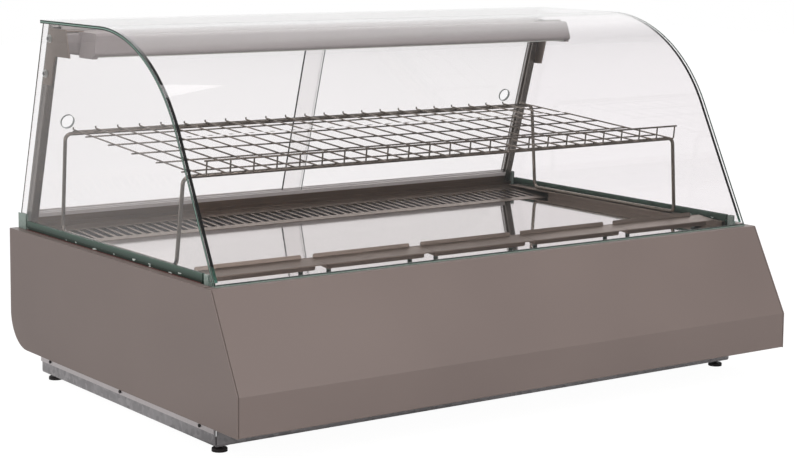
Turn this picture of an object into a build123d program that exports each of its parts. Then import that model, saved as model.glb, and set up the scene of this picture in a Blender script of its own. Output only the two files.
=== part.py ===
from build123d import *
import os
from math import sin, cos, tan, radians, hypot

os.makedirs("parts", exist_ok=True)

# Overall size, origin on the floor below the middle of the case
case_length = 1200.0
case_depth = 810.0
half_length = case_length / 2
front_y = -case_depth / 2
rear_y = case_depth / 2

# Heights of the body above the floor
body_floor = 54.0
crease_height = 119.0
body_top = 274.0
slope_run = 81.0
shoulder_y = front_y + slope_run
rear_corner_radius = 66.0

# Sheet thicknesses and general clearances
panel_sheet = 1.5
end_sheet = 2.0
steel_sheet = 1.2
frame_sheet = 2.0
fold_radius = 3.0
seam_gap = 1.2
touch_gap = 0.2
half = 0.5
cut_over = 2.0
through_cut = 6.0
small_fold = 1.0

# Chassis and feet
rail_x = half_length - 27.0
rail_front_y = front_y + 111.0
rail_rear_y = rear_y - 73.0
rail_bottom = 12.0
rail_top = 52.5
rail_flange = 25.0
pad_radius = 13.0
pad_height = 6.0
pad_round = 2.0
stem_radius = 4.0
stem_top = 36.0
stem_bore_top = 30.0
stem_clearance = 0.05
weld_nut_flats = 13.0
weld_nut_height = 8.0
foot_inset = 19.0
foot_x = rail_x - foot_inset
foot_front_y = rail_front_y + foot_inset
foot_rear_y = rail_rear_y - foot_inset

# Base pan and its screws
pan_top = rail_top + panel_sheet
pan_skirt_bottom = 33.0
pan_angle_wide = 20.0
pan_vent_long = 60.0
pan_vent_wide = 6.0
pan_vent_pitch = 14.0
pan_vent_count = 8
pan_vent_x = 420.0
pan_vent_first_y = 130.0
pan_screw_radius = 3.0
pan_screw_core = 1.3
pan_screw_head = 2.2
pan_screw_height = 38.5
pan_screw_pitch = 270.0
pan_screw_middle_y = 22.0

# Glass
glass = 6.0
front_glass_half = half_length - 16.0
glass_overhang = 3.0
side_glass_x = front_glass_half - glass_overhang
glass_top = 664.0
glass_rear_y = rear_y - 106.0
crown_start_y = rear_y - 335.0
crown_radius = 300.0
crown_turn = 63.0
front_glass_bottom = 276.0
side_glass_bottom = 279.0
setting_gap = 0.3
side_glass_rear_inset = 5.0
bond_gap = 0.3
ground_edge = 1.0

# Leaning rear plane that carries posts, tracks and doors
rear_lean = 16.0
lean_sin = sin(radians(rear_lean))
lean_cos = cos(radians(rear_lean))
rear_foot_y = rear_y - 8.0
rear_foot_z = 280.0

# Posts, sill and tracks measured in the leaning plane
post_wide = 15.0
post_side_gap = 7.0
post_x_out = side_glass_x - glass - post_side_gap
post_x_in = post_x_out - post_wide
frame_deep = 20.0
sill_tall = 21.0
track_tall = 7.5
track_floor = 3.0
top_track_tall = 22.0
top_groove_tall = 18.0
rear_front_slack = 0.6

# Sliding doors
door_glass = 5.0
door_groove = 6.4
door_first_u = 3.0
door_pitch_u = 9.0
door_bottom_gap = 0.3
door_top_entry = 12.0
door_edge_gap = 1.5
door_overlap_left = 25.0
door_overlap_right = 16.0
door_entry = 2.0
finger_hole_radius = 12.5
finger_hole_x = post_x_in - 38.0
finger_hole_v = 183.0

# Display deck and rear air grille
deck_top = 266.0
deck_side_margin = 0.9
grille_half = side_glass_x - glass - 3.0
fold_reach = half_length - 44.0
deck_front_y = shoulder_y + 26.0
deck_skirt = 14.0
seat_drop = 8.0
fold_gap = 1.0
seat_deep = 12.0
grille_front_y = 222.0
grille_rear_y = 356.0
grille_rise = 8.0
slot_pitch = 19.5
slot_width = 12.5
slot_long = 80.0
slot_border = 22.0
slot_half_run = grille_half - 32.0
sill_toe = 14.0
grille_upturn = 8.0

# Front air guide plates
guide_count = 5
guide_end_gap = 2.0
guide_tab = 24.0
guide_gap = 1.0
guide_lift = 5.0
guide_front_y = -256.0
guide_lip = 7.5
guide_reach = 43.0
guide_rise = 4.5
guide_back_lip = 7.0
guide_back_lean = 1.5
guide_corner = 3.0
relief_long = 9.0
relief_tall = 2.4
relief_inset = 4.0
bumper_radius = 4.0
bumper_inset = 16.0
bumper_y = -236.0

# Side ledges, glass channels and clips
ledge_wide = 25.5
ledge_nose_wide = 9.5
ledge_glass_gap = 2.0
ledge_front_y = -206.0
ledge_tail_inset = 6.0
ledge_tail_lift = 1.0
ledge_top = 278.0
channel_top = 290.0
channel_floor = side_glass_bottom - setting_gap
channel_wall = 1.2
channel_outer = side_glass_x + bond_gap + channel_wall
channel_inner = side_glass_x - glass - bond_gap - channel_wall
channel_front_y = -270.0
channel_rear_y = 368.0
deck_half = channel_outer + deck_side_margin
ledge_out = channel_inner - ledge_glass_gap
ledge_in = ledge_out - ledge_wide
ledge_nose_in = ledge_out - ledge_nose_wide
guide_pitch = 2 * (ledge_nose_in - guide_end_gap) / guide_count
clip_long = 12.0
clip_gap = 5.0
clamp_long = 31.0
clamp_rise = 12.0

# Lamp canopy and its brackets
canopy_half = post_x_out - 32.0
canopy_cap = 9.0
canopy_cap_taper = 6.5
canopy_cap_hang = 4.0
canopy_cavity_front = 6.0
canopy_lamp_wall = 4.0
canopy_end_half = post_x_out
canopy_front_y = 156.0
canopy_rear_y = 269.0
canopy_bottom = 604.0
canopy_top = 645.0
canopy_wall = 2.0
canopy_chamfer = 7.0
diffuser_front = 8.0
diffuser_deep = 40.0
diffuser_tall = 5.0
diffuser_end_gap = 2.0
diffuser_proud = 1.5
bracket_sheet = 2.5
bracket_u_rear = 9.0
bracket_u_front = 41.0
bracket_foot_z = 547.0
bracket_arm_z = 600.0
bracket_top_z = 650.0
bracket_arm_y = 204.0
bracket_arm_top_y = 219.0
bracket_rear_inset = 8.0
bracket_flange = 34.0
bolt_radius = 3.0
bolt_nut_radius = 6.2
bolt_nut_tall = 3.2
bolt_sunk = 2.0
bolt_end = 0.2
washer_radius = 7.5
washer_thick = 0.8
bolt_u = 15.5
bolt_upper_z = 631.0
bolt_lower_z = 567.0

# Wire shelf
stand_rod = 3.4
stand_bend = 12.0
stand_half = ledge_in - 2.0
stand_foot_half_front = ledge_in + 10.0
stand_foot_half_rear = ledge_in + 7.0
stand_front_y = -150.0
stand_rear_y = 276.0
stand_front_z = 427.0
stand_rear_z = 458.0
stand_foot_front_y = -147.0
stand_foot_rear_y = 272.0
shelf_wire = 1.4
shelf_wire_count = 24
shelf_side_inset = 23.0
shelf_wire_pitch = 2 * (stand_half - shelf_side_inset) / (shelf_wire_count - 1)
shelf_front_y = -176.0
shelf_rear_y = 290.0
shelf_upstand = 25.0
shelf_upstand_lean = 3.0
shelf_bend = 4.0
shelf_hook = 4.2
shelf_hook_bend = 2.2
shelf_rear_wire_inset = 7.0
cross_wire_first_y = -120.0
cross_wire_pitch = 86.0
cross_wire_count = 5
cross_wire_over = 9.0
shelf_sink = 0.7
shelf_rail = 1.7
shelf_rest_gap = 0.02

# Cold tank below the deck
tank_wall = 22.0
tank_half = half_length - 20.0
tank_front_y = shoulder_y + 38.0
tank_rear_y = rear_y - 39.0
tank_top = deck_top - steel_sheet
tank_deep_bottom = 112.0
tank_shallow_bottom = 226.0
tank_step_x = 220.0
liner_sheet = 1.0
support_sheet = 2.0
support_wide = 40.0
support_foot = 18.0
support_places = (-440.0, 90.0)
support_front_y = -250.0
support_rear_y = 316.0
upright_x = 557.0
upright_flange = 22.0
upright_rear_y = 240.0

# Evaporator and its fan
evap_x_low = -500.0
evap_x_high = -80.0
evap_y_low = 40.0
evap_y_high = 150.0
evap_z_low = 140.0
evap_z_high = 226.0
evap_fin_pitch = 15.0
evap_fin_gap = 12.0
evap_fin_land = 8.0
evap_tube = 5.0
evap_tube_low = 25.0
evap_tube_high = 60.0
evap_rows = (30.0, 80.0)
evap_tube_over = 6.0
evap_bend_out = 10.0
evap_bend_wide = 5.0
fin_base = 6.0
evap_fan_x = 60.0
evap_fan_y = 95.0
evap_fan_z = 190.0
evap_fan_radius = 48.0
evap_hub = 13.0
evap_hub_deep = 14.0
evap_plate_out = 6.0
evap_plate_margin = 14.0
evap_plate_head = 8.0
evap_ring_deep = 16.0
evap_motor_radius = 22.0
evap_motor_long = 34.0
evap_motor_gap = 12.0
evap_shaft_long = 17.0
evap_arm_half = 12.0
evap_arm_wide = 16.0

# Condensing unit
comp_x = 400.0
comp_y = 30.0
comp_radius = 72.0
comp_tall = 154.0
comp_foot = 6.0
comp_round = 46.0
comp_seam_out = 3.0
comp_seam_share = 0.42
comp_seam_tall = 5.0
comp_plate_x = 95.0
comp_plate_y = 60.0
comp_plate_half = 2.0
comp_grommet = 9.0
comp_grommet_x = 82.0
comp_grommet_y = 48.0
comp_box_sunk = 6.0
comp_box_out = 26.0
comp_box_low = 30.0
comp_box_high = 92.0
cond_x_low = 270.0
cond_x_high = 550.0
cond_y_low = 300.0
cond_y_high = 340.0
cond_z_low = 60.0
cond_z_high = 214.0
cond_fan_radius = 66.0
cond_fan_z = 135.0
cond_fan_y = 280.0
cond_fin_pitch = 12.0
cond_fin_gap = 9.5
cond_fin_land = 8.0
cond_tube = 4.0
cond_tube_count = 5
cond_foot_deep = 12.0
cond_hub = 16.0
cond_hub_deep = 16.0
cond_motor_gap = 5.0
cond_arm_half = 20.0
cond_arm_start = 8.0
cond_arm_wide = 22.0
cond_arm_sunk = 4.0
pipe_radius = 3.2
pipe_lane = 30.0
pipe_split = 8.0
pipe_bend = 8.0
pipe_small_bend = 7.0
liquid_out = 30.0
suction_out = 50.0
suction_lane = 24.0
drier_radius = 9.0
drier_long = 50.0
drier_round = 6.0
drier_start_y = 235.0
stub_radius = 4.4
stub_end = 82.0
stub_shift = 20.0
stub_lift = 90.0
discharge_out = 110.0
coil_stub = 5.0
coil_inset = 20.0
coil_first = 20.0
coil_pitch = 28.0
evap_stub = 6.0

# Rear panel, controls and switches
rear_panel_y = rear_y - 11.0
rear_panel_top = deck_top
rear_panel_shelf = 27.0
rear_fold_z = 124.0
rear_low_y = rear_y - 60.0
rear_return = 27.0
louvre_long = 90.0
louvre_tall = 5.0
louvre_pitch = 12.0
louvre_rows = 9
louvre_low_z = 134.0
louvre_columns = (300.0, 410.0, 520.0)
control_x = 80.0
control_z = 205.0
control_wide = 74.0
control_tall = 32.0
control_face = 4.0
control_deep = 24.0
control_lap = 2.0
control_body_gap = 0.5
control_corner = 3.0
window_inset = 6.0
window_gap = 4.0
window_deep = 1.0
window_half = 9.0
key_first_x = 3.0
key_sunk = 2.0
key_proud = 1.0
key_round = 0.5
key_pocket = 3.0
key_wide = 9.0
key_tall = 6.0
key_pitch = 13.0
key_gap = 0.25
switch_x = 170.0
switch_pitch = 38.0
switch_wide = 21.0
switch_tall = 28.0
switch_deep = 16.0
switch_lap = 1.5
switch_body_gap = 0.5
switch_rim = 2.0
switch_well = 9.0
rocker_wide = 13.0
rocker_tall = 20.0
rocker_tilt = 8.0
rocker_gap = 0.4
rocker_slack = 0.8
rocker_pivot = 3.0
rocker_waist = 1.5
rocker_proud = 0.8
rocker_middle = 0.2


# Solids drawn as a flat outline and pushed along one axis
def outline(points):
    return make_face(Polyline(*points, close=True))


def along_x(sketch, low, high):
    plane = Plane(origin=(low, 0, 0), x_dir=(0, 1, 0), z_dir=(1, 0, 0))
    return extrude(plane * sketch, amount=high - low)


def along_y(sketch, low, high):
    plane = Plane(origin=(0, high, 0), x_dir=(1, 0, 0), z_dir=(0, -1, 0))
    return extrude(plane * sketch, amount=high - low)


def along_z(sketch, low, high):
    return extrude(Plane.XY.offset(low) * sketch, amount=high - low)


def block(low, high):
    size = [b - a for a, b in zip(low, high)]
    middle = [(a + b) / 2 for a, b in zip(low, high)]
    return Pos(*middle) * Box(*size)


def folded(points, sheet, radius):
    return trace(FilletPolyline(*points, radius=radius), line_width=sheet)


def rod_x(radius, start, length):
    return Pos(*start) * Rot(0, 90, 0) * Cylinder(radius, length, align=(Align.CENTER, Align.CENTER, Align.MIN))


def rod_y(radius, start, length):
    return Pos(*start) * Rot(-90, 0, 0) * Cylinder(radius, length, align=(Align.CENTER, Align.CENTER, Align.MIN))


def rod_z(radius, start, length):
    return Pos(*start) * Cylinder(radius, length, align=(Align.CENTER, Align.CENTER, Align.MIN))


def wire_run(points, radius, bend):
    path = FilletPolyline(*points, radius=bend) if bend else Polyline(*points)
    start = Plane(origin=path @ 0, z_dir=path % 0)
    return sweep(start * Circle(radius), path=path)


def mirrored(shape):
    return mirror(shape, about=Plane.YZ)


def rear_point(u, v):
    return (rear_foot_y - u * lean_cos - v * lean_sin, rear_foot_z - u * lean_sin + v * lean_cos)


def rear_outline(corners):
    return outline([rear_point(u, v) for u, v in corners])


def rear_box(u_low, u_high, v_low, v_high):
    return rear_outline([(u_low, v_low), (u_high, v_low), (u_high, v_high), (u_low, v_high)])


def rear_v_at(z, u):
    return (z - rear_foot_z + u * lean_sin) / lean_cos


# Levelling feet with their pads and threaded stems
def foot(x, y):
    pad = fillet(rod_z(pad_radius, (x, y, 0), pad_height).edges().group_by(Axis.Z)[-1], pad_round)
    stem = rod_z(stem_radius, (x, y, 0), stem_top)
    return pad + stem


def weld_nut(x, y):
    nut = along_z(Pos(x, y) * RegularPolygon(weld_nut_flats / 2, 6, major_radius=False),
                  rail_bottom + frame_sheet, rail_bottom + frame_sheet + weld_nut_height)
    return nut


# Chassis of folded rails with weld nuts for the feet
def side_rail():
    outer = rail_x - frame_sheet / 2
    inner = rail_x - rail_flange
    low = rail_bottom + frame_sheet / 2
    high = rail_top - frame_sheet / 2
    section = folded([(inner, low), (outer, low), (outer, high), (inner, high)], frame_sheet, fold_radius)
    return along_y(section, rail_front_y + frame_sheet, rail_rear_y - frame_sheet)


def cross_rail(outer_y, inward):
    web = outer_y + inward * frame_sheet / 2
    inner = outer_y + inward * rail_flange
    low = rail_bottom + frame_sheet / 2
    high = rail_top - frame_sheet / 2
    section = folded([(inner, low), (web, low), (web, high), (inner, high)], frame_sheet, fold_radius)
    reach = rail_x - fold_radius
    return along_x(section, -reach, reach)


def feet_places():
    return [(sx * foot_x, y) for sx in (-1, 1) for y in (foot_front_y, foot_rear_y)]


def chassis_frame():
    rail = side_rail()
    frame = cross_rail(rail_front_y, 1) + cross_rail(rail_rear_y, -1) + rail + mirrored(rail)
    for x, y in feet_places():
        frame += weld_nut(x, y)
        frame -= rod_z(stem_radius + stem_clearance, (x, y, 0), stem_bore_top)
    return frame


# Base pan whose skirts hang outside the side rails
def base_pan():
    side = rail_x + panel_sheet / 2 + touch_gap
    level = rail_top + panel_sheet / 2
    points = [(-side, pan_skirt_bottom), (-side, level), (side, level), (side, pan_skirt_bottom)]
    pan = along_y(folded(points, panel_sheet, fold_radius), rail_front_y + fold_radius, rail_rear_y)
    for y in pan_screw_rows():
        reach = side * 2 + rail_flange
        pan -= rod_x(pan_screw_radius / 2, (-reach / 2, y, pan_screw_height), reach)
    for k in range(pan_vent_count):
        y = pan_vent_first_y + k * pan_vent_pitch
        pan -= Pos(pan_vent_x, y, level) * Box(pan_vent_long, pan_vent_wide, panel_sheet * 4)
    seam = rail_x - pan_angle_wide
    beyond = side + cut_over
    middle = pan & block((-seam, front_y, pan_skirt_bottom), (seam, rear_y, body_top))
    angle = pan & block((seam, front_y, 0), (beyond, rear_y, body_top))
    return Compound(children=[middle, angle, mirrored(angle)])


def pan_screw_rows():
    return [pan_screw_middle_y + k * pan_screw_pitch for k in (-1, 0, 1)]


def base_screws():
    face = rail_x + panel_sheet + touch_gap
    heads = []
    for y in pan_screw_rows():
        head = rod_x(pan_screw_radius, (face, y, pan_screw_height), pan_screw_head)
        head += rod_x(pan_screw_core, (rail_x, y, pan_screw_height), pan_screw_head)
        heads += [head, mirrored(head)]
    return Compound(children=heads)


# End panels: flat outline with a large rear corner and a rim turned inwards
def end_outline(inset):
    top = body_top - inset
    floor = body_floor + inset
    rear = rear_y - inset
    front = front_y + inset
    corner = rear_corner_radius - inset
    slope = hypot(slope_run, body_top - crease_height)
    shift = inset * (slope - slope_run) / (body_top - crease_height)
    crease_shift = inset * (slope - (body_top - crease_height)) / slope_run
    edges = [
        Line((rear, floor + corner), (rear, top)),
        Line((rear, top), (shoulder_y + shift, top)),
        Line((shoulder_y + shift, top), (front, crease_height - crease_shift)),
        Line((front, crease_height - crease_shift), (front, floor)),
        Line((front, floor), (rear - corner, floor)),
        RadiusArc((rear - corner, floor), (rear, floor + corner), -corner),
    ]
    return make_face(edges)


end_rim_inset = panel_sheet + 0.6
end_rim_deep = 14.0
end_rim_sheet = 1.5
end_flange_front_y = deck_front_y
end_base_flange = 38.0
end_base_front_y = -266.0
end_base_rear_y = 315.0


def end_panel():
    plate = along_x(end_outline(0), half_length - end_sheet, half_length)
    rim_sketch = end_outline(end_rim_inset) - end_outline(end_rim_inset + end_rim_sheet)
    rim = along_x(rim_sketch, half_length - end_sheet - end_rim_deep, half_length - end_sheet)
    inner = half_length - end_sheet
    notch = block((inner - end_rim_deep - cut_over, shoulder_y - cut_over, deck_top),
                  (inner, rear_y + cut_over, body_top))
    top = block((inner - end_rim_deep, end_flange_front_y, body_top - end_sheet), (inner, rear_y, body_top))
    base_inner = inner - end_base_flange
    base = block((base_inner, end_base_front_y, body_floor), (inner, end_base_rear_y, body_floor + end_rim_sheet))
    return plate + (rim - notch) + top + base


# Front panel folded from one sheet: ledge, slope, upright band and bottom return
front_panel_return = 136.0
ledge_rear_y = shoulder_y + 24.0
ledge_drop = 6.0
front_panel_fold = 2.0


def front_panel():
    inset = panel_sheet / 2
    slope = hypot(slope_run, body_top - crease_height)
    shift = inset * (slope - slope_run) / (body_top - crease_height)
    crease_shift = inset * (slope - (body_top - crease_height)) / slope_run
    points = [
        (ledge_rear_y - inset, body_top - ledge_drop),
        (ledge_rear_y - inset, body_top - inset),
        (shoulder_y + shift, body_top - inset),
        (front_y + inset, crease_height - crease_shift),
        (front_y + inset, body_floor + inset),
        (front_y + front_panel_return, body_floor + inset),
    ]
    reach = half_length - end_sheet - seam_gap
    return along_x(folded(points, panel_sheet, front_panel_fold), -reach, reach)


# Rear service panel with louvre slots and openings for the controls
def rear_panel():
    points = [
        (rear_panel_y - rear_panel_shelf, rear_panel_top - panel_sheet / 2),
        (rear_panel_y, rear_panel_top - panel_sheet / 2),
        (rear_panel_y, rear_fold_z),
        (rear_low_y, body_floor + panel_sheet / 2),
        (rear_low_y - rear_return, body_floor + panel_sheet / 2),
    ]
    reach = half_length - end_sheet - end_rim_deep - seam_gap
    sheet = along_x(folded(points, panel_sheet, fold_radius), -reach, reach)
    for x in louvre_columns:
        for row in range(louvre_rows):
            z = louvre_low_z + row * louvre_pitch
            sheet -= Pos(x, rear_panel_y, z) * Box(louvre_long, through_cut, louvre_tall)
    opening = Box(control_wide - 2 * control_lap, through_cut, control_tall - 2 * control_lap)
    sheet -= Pos(control_x, rear_panel_y, control_z) * opening
    for x in switch_places():
        hole = Box(switch_wide - 2 * switch_lap, through_cut, switch_tall - 2 * switch_lap)
        sheet -= Pos(x, rear_panel_y, control_z) * hole
    for x, z in rear_screw_places():
        sheet -= rod_y(rear_screw_core + touch_gap, (x, rear_panel_y - through_cut, z), 2 * through_cut)
    return sheet


rear_screw_x = half_length - 26.0
rear_screw_low_z = 140.0
rear_screw_high_z = 250.0
rear_screw_core = 2.0
rear_screw_head = 4.0
rear_screw_head_tall = 2.5
rear_screw_long = 8.0


def rear_screw_places():
    return [(s * rear_screw_x, z) for s in (-1, 1) for z in (rear_screw_low_z, rear_screw_high_z)]


def rear_screws():
    face = rear_panel_y + panel_sheet / 2
    heads = []
    for x, z in rear_screw_places():
        head = rod_y(rear_screw_head, (x, face, z), rear_screw_head_tall)
        heads.append(head + rod_y(rear_screw_core, (x, face - rear_screw_long, z), rear_screw_long))
    return Compound(children=heads)


def switch_places():
    return [switch_x, switch_x + switch_pitch]


# Insulated cold tank: deep over the evaporator, shallow above the machine space
def tank_outline(wall):
    left = -tank_half + wall
    right = tank_half - wall
    step = tank_step_x - wall
    deep = tank_deep_bottom + wall
    shallow = tank_shallow_bottom + wall
    points = [(left, tank_top), (left, deep), (step, deep), (step, shallow), (right, shallow), (right, tank_top)]
    return outline(points)


drain_x = -100.0
drain_y = -120.0
drain_radius = 8.0
drain_wall = 1.2
drain_liner_step = 1.0


def tank_insulation():
    shell = along_y(tank_outline(0), tank_front_y, tank_rear_y)
    cavity = along_y(tank_outline(tank_wall - liner_sheet), tank_front_y + tank_wall, tank_rear_y - tank_wall)
    shell -= cavity
    shell -= rod_z(drain_radius + touch_gap, (drain_x, drain_y, 0), tank_top)
    shell -= pipe_passage()
    return shell


# Folded supports that carry the tank on the base pan
def tank_supports():
    low = pan_top + support_sheet / 2
    high = tank_deep_bottom - support_sheet / 2
    pieces = []
    for x in support_places:
        points = [
            (x - support_wide / 2 - support_foot, low),
            (x - support_wide / 2, low),
            (x - support_wide / 2, high),
            (x + support_wide / 2, high),
            (x + support_wide / 2, low),
            (x + support_wide / 2 + support_foot, low),
        ]
        pieces.append(along_y(folded(points, support_sheet, fold_radius), support_front_y, support_rear_y))
    top = tank_shallow_bottom - support_sheet / 2
    points = [(upright_x - upright_flange, low), (upright_x, low), (upright_x, top), (upright_x - upright_flange, top)]
    pieces.append(along_y(folded(points, support_sheet, fold_radius), support_front_y, upright_rear_y))
    return Compound(children=pieces)


def tank_liner():
    low_y = tank_front_y + tank_wall
    high_y = tank_rear_y - tank_wall
    shell = along_y(tank_outline(tank_wall - liner_sheet), low_y, high_y)
    cavity = along_y(tank_outline(tank_wall), low_y + liner_sheet, high_y - liner_sheet)
    shell -= cavity
    shell -= rod_z(drain_radius - drain_liner_step, (drain_x, drain_y, 0), tank_top)
    shell -= pipe_passage()
    return shell


passage_y = 200.0
passage_z = evap_z_low + evap_tube_low
passage_wide = 30.0
passage_tall = 24.0


def pipe_passage():
    low = (tank_step_x - tank_wall - cut_over, passage_y - passage_wide / 2, passage_z - passage_tall / 2)
    high = (tank_step_x + cut_over, passage_y + passage_wide / 2, passage_z + passage_tall / 2)
    return block(low, high)


# Mirror deck as one folded sheet, and the slotted rear grille behind it
def display_deck():
    level = deck_top - steel_sheet / 2
    points = [
        (deck_front_y + steel_sheet, level - deck_skirt),
        (deck_front_y + steel_sheet, level),
        (grille_front_y, level),
        (grille_front_y, level - seat_drop),
        (grille_front_y + seat_deep, level - seat_drop),
    ]
    sheet = along_x(folded(points, steel_sheet, small_fold), -deck_half, deck_half)
    return clear_tank_walls(sheet, grille_front_y - cut_over, grille_front_y + seat_deep + cut_over)


def clear_tank_walls(sheet, y_low, y_high):
    side = block((fold_reach, y_low, deck_top - 2 * seat_drop), (half_length, y_high, tank_top))
    return sheet - side - mirrored(side)


def grille_level(y):
    share = (y - grille_front_y) / (grille_rear_y - grille_front_y)
    return deck_top + share * grille_rise


def rear_grille():
    start = grille_front_y + steel_sheet + fold_gap
    front = grille_level(start) - steel_sheet / 2
    rear = grille_level(grille_rear_y) - steel_sheet / 2
    face = frame_deep + touch_gap + steel_sheet / 2
    corner = rear_v_at(rear, face)
    points = [
        (start, deck_top - seat_drop + touch_gap),
        (start, front),
        (grille_rear_y, rear),
        rear_point(face, corner),
        rear_point(face, corner + grille_upturn),
    ]
    sheet = along_x(folded(points, steel_sheet, small_fold), -grille_half, grille_half)
    sheet = clear_tank_walls(sheet, start - cut_over, start + cut_over)
    y = start + slot_border + slot_long / 2
    steps = int(slot_half_run / slot_pitch)
    slot = Box(slot_width, slot_long, 2 * through_cut)
    slots = [Pos(k * slot_pitch, y, grille_level(y)) * slot for k in range(-steps, steps + 1)]
    return sheet.cut(*slots)


# Front air guide plates, five alike in a row
guide_low = deck_top + guide_lift
guide_fold_z = guide_low + guide_lip
guide_back_y = guide_front_y + guide_reach
guide_crest = guide_fold_z + guide_rise + guide_back_lip
guide_relief_drop = 1.0
flange_gap = 1.4


def guide_profile():
    points = [
        (guide_front_y + steel_sheet / 2, guide_low),
        (guide_front_y + steel_sheet / 2, guide_fold_z),
        (guide_back_y, guide_fold_z + guide_rise),
        (guide_back_y + guide_back_lean, guide_crest),
    ]
    return folded(points, steel_sheet, steel_sheet)


def guide_left(number):
    return (number - guide_count / 2) * guide_pitch


def guide_plate(number):
    left = guide_left(number)
    right = left + guide_pitch - guide_gap
    body_end = left + guide_pitch - guide_tab
    plate = along_x(guide_profile(), left, right)
    plate -= block((body_end, guide_back_y - small_fold, guide_fold_z + guide_rise + small_fold),
                   (right + cut_over, guide_back_y + through_cut, guide_crest + cut_over))
    plate -= block((body_end, guide_front_y - cut_over, guide_low - cut_over),
                   (right + cut_over, guide_front_y + 2 * cut_over, guide_fold_z - small_fold))
    corner = Rot(0, 45, 0) * Box(guide_corner, through_cut, guide_corner)
    plate -= Pos(body_end, guide_front_y, guide_low) * corner
    for x in (left, body_end):
        plate -= Pos(x, guide_back_y + guide_back_lean, guide_crest) * corner
    return plate + guide_flange(left)


def guide_flange(left):
    points = [
        (guide_front_y + flange_gap, guide_low),
        (guide_front_y + flange_gap, guide_fold_z - small_fold * half),
        (guide_back_y - flange_gap, guide_fold_z + guide_rise - small_fold),
        (guide_back_y - flange_gap, guide_low + guide_rise),
    ]
    flange = along_x(outline(points), left, left + steel_sheet)
    level = guide_fold_z + guide_rise * half - guide_relief_drop
    for y in (guide_front_y + relief_inset + relief_long / 2, guide_back_y - relief_inset - relief_long / 2):
        flange -= Pos(left, y, level) * Box(through_cut, relief_long, relief_tall)
    return flange


# Clear bumpers that hold the guide plates off the mirror deck
def guide_bumpers():
    share = (bumper_y - bumper_radius - guide_front_y) / guide_reach
    top = guide_fold_z + share * guide_rise - steel_sheet * half - touch_gap
    pieces = []
    for number in range(guide_count):
        for x in (guide_left(number) + bumper_inset, guide_left(number + 1) - guide_tab - bumper_inset):
            pieces.append(rod_z(bumper_radius, (x, bumper_y, deck_top), top - deck_top))
    return pieces


# Side ledges that carry the shelf stand
def side_ledge():
    level = ledge_top - steel_sheet / 2
    points = [
        (ledge_in + steel_sheet / 2, deck_top),
        (ledge_in + steel_sheet / 2, level),
        (ledge_out - steel_sheet / 2, level),
        (ledge_out - steel_sheet / 2, deck_top),
    ]
    main = along_y(folded(points, steel_sheet, small_fold), ledge_front_y, grille_front_y - cut_over)
    return main + ledge_tail(level) + ledge_nose(level)


def ledge_nose(level):
    points = [
        (ledge_nose_in + steel_sheet / 2, deck_top),
        (ledge_nose_in + steel_sheet / 2, level),
        (ledge_out - steel_sheet / 2, level),
        (ledge_out - steel_sheet / 2, deck_top),
    ]
    return along_y(folded(points, steel_sheet, small_fold), channel_front_y, ledge_front_y)


def ledge_tail(level):
    rear = grille_rear_y - ledge_tail_inset
    lift = grille_level(rear) - deck_top + ledge_tail_lift
    points = [
        (ledge_in + steel_sheet / 2, deck_top + lift),
        (ledge_in + steel_sheet / 2, level),
        (ledge_out - steel_sheet / 2, level),
        (ledge_out - steel_sheet / 2, deck_top + lift),
    ]
    return along_y(folded(points, steel_sheet, small_fold), grille_front_y - cut_over, rear)


# Channels that hold the lower edges of the side glasses
def u_profile(top):
    base = channel_floor - channel_wall
    profile = outline([(channel_inner, base), (channel_outer, base), (channel_outer, top), (channel_inner, top)])
    return profile - outline([
        (channel_inner + channel_wall, channel_floor),
        (channel_outer - channel_wall, channel_floor),
        (channel_outer - channel_wall, top),
        (channel_inner + channel_wall, top),
    ])


def u_strip(y, long, top):
    foot_strip = block((channel_inner, y, deck_top), (channel_outer, y + long, channel_floor - channel_wall))
    return along_y(u_profile(top), y, y + long) + foot_strip


def glass_channel():
    return u_strip(channel_front_y, channel_rear_y - channel_front_y, channel_top)


def glass_clips():
    front = u_strip(channel_front_y - clip_gap - clip_long, clip_long, channel_top)
    rear = u_strip(channel_rear_y + clip_gap, clamp_long, channel_top + clamp_rise)
    return Compound(children=[front, rear, mirrored(front), mirrored(rear), *guide_bumpers()])


# Curved front glass and the side glasses that follow it
def crown_points(inset):
    radius = crown_radius - inset
    turn = radians(crown_turn)
    middle = (crown_start_y, glass_top - crown_radius)
    end = (middle[0] - radius * sin(turn), middle[1] + radius * cos(turn))
    via = (middle[0] - radius * sin(turn / 2), middle[1] + radius * cos(turn / 2))
    drop = end[1] - front_glass_bottom
    foot_point = (end[0] - drop / tan(turn), front_glass_bottom)
    return (crown_start_y, glass_top - inset), via, end, foot_point


def front_glass():
    top, via, end, foot_point = crown_points(0)
    top_in, via_in, end_in, foot_in = crown_points(glass)
    edges = [
        Line((glass_rear_y, glass_top), top),
        ThreePointArc(top, via, end),
        Line(end, foot_point),
        Line(foot_point, foot_in),
        Line(foot_in, end_in),
        ThreePointArc(end_in, via_in, top_in),
        Line(top_in, (glass_rear_y, glass_top - glass)),
        Line((glass_rear_y, glass_top - glass), (glass_rear_y, glass_top)),
    ]
    pane = along_x(make_face(edges), -front_glass_half, front_glass_half)
    return fillet(pane.edges().filter_by(Axis.X).group_by(Axis.Y)[-1], ground_edge)


def side_glass():
    inset = glass + bond_gap
    top, via, end, foot_point = crown_points(inset)
    rear_u = -side_glass_rear_inset
    rear_top = rear_point(rear_u, rear_v_at(glass_top - inset, rear_u))
    rear_low = rear_point(rear_u, rear_v_at(side_glass_bottom, rear_u))
    front_low = (foot_point[0] - (side_glass_bottom - foot_point[1]) / -tan(radians(crown_turn)), side_glass_bottom)
    edges = [
        Line(rear_top, top),
        ThreePointArc(top, via, end),
        Line(end, front_low),
        Line(front_low, rear_low),
        Line(rear_low, rear_top),
    ]
    return along_x(make_face(edges), side_glass_x - glass, side_glass_x)


seal_side = 1.0


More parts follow.
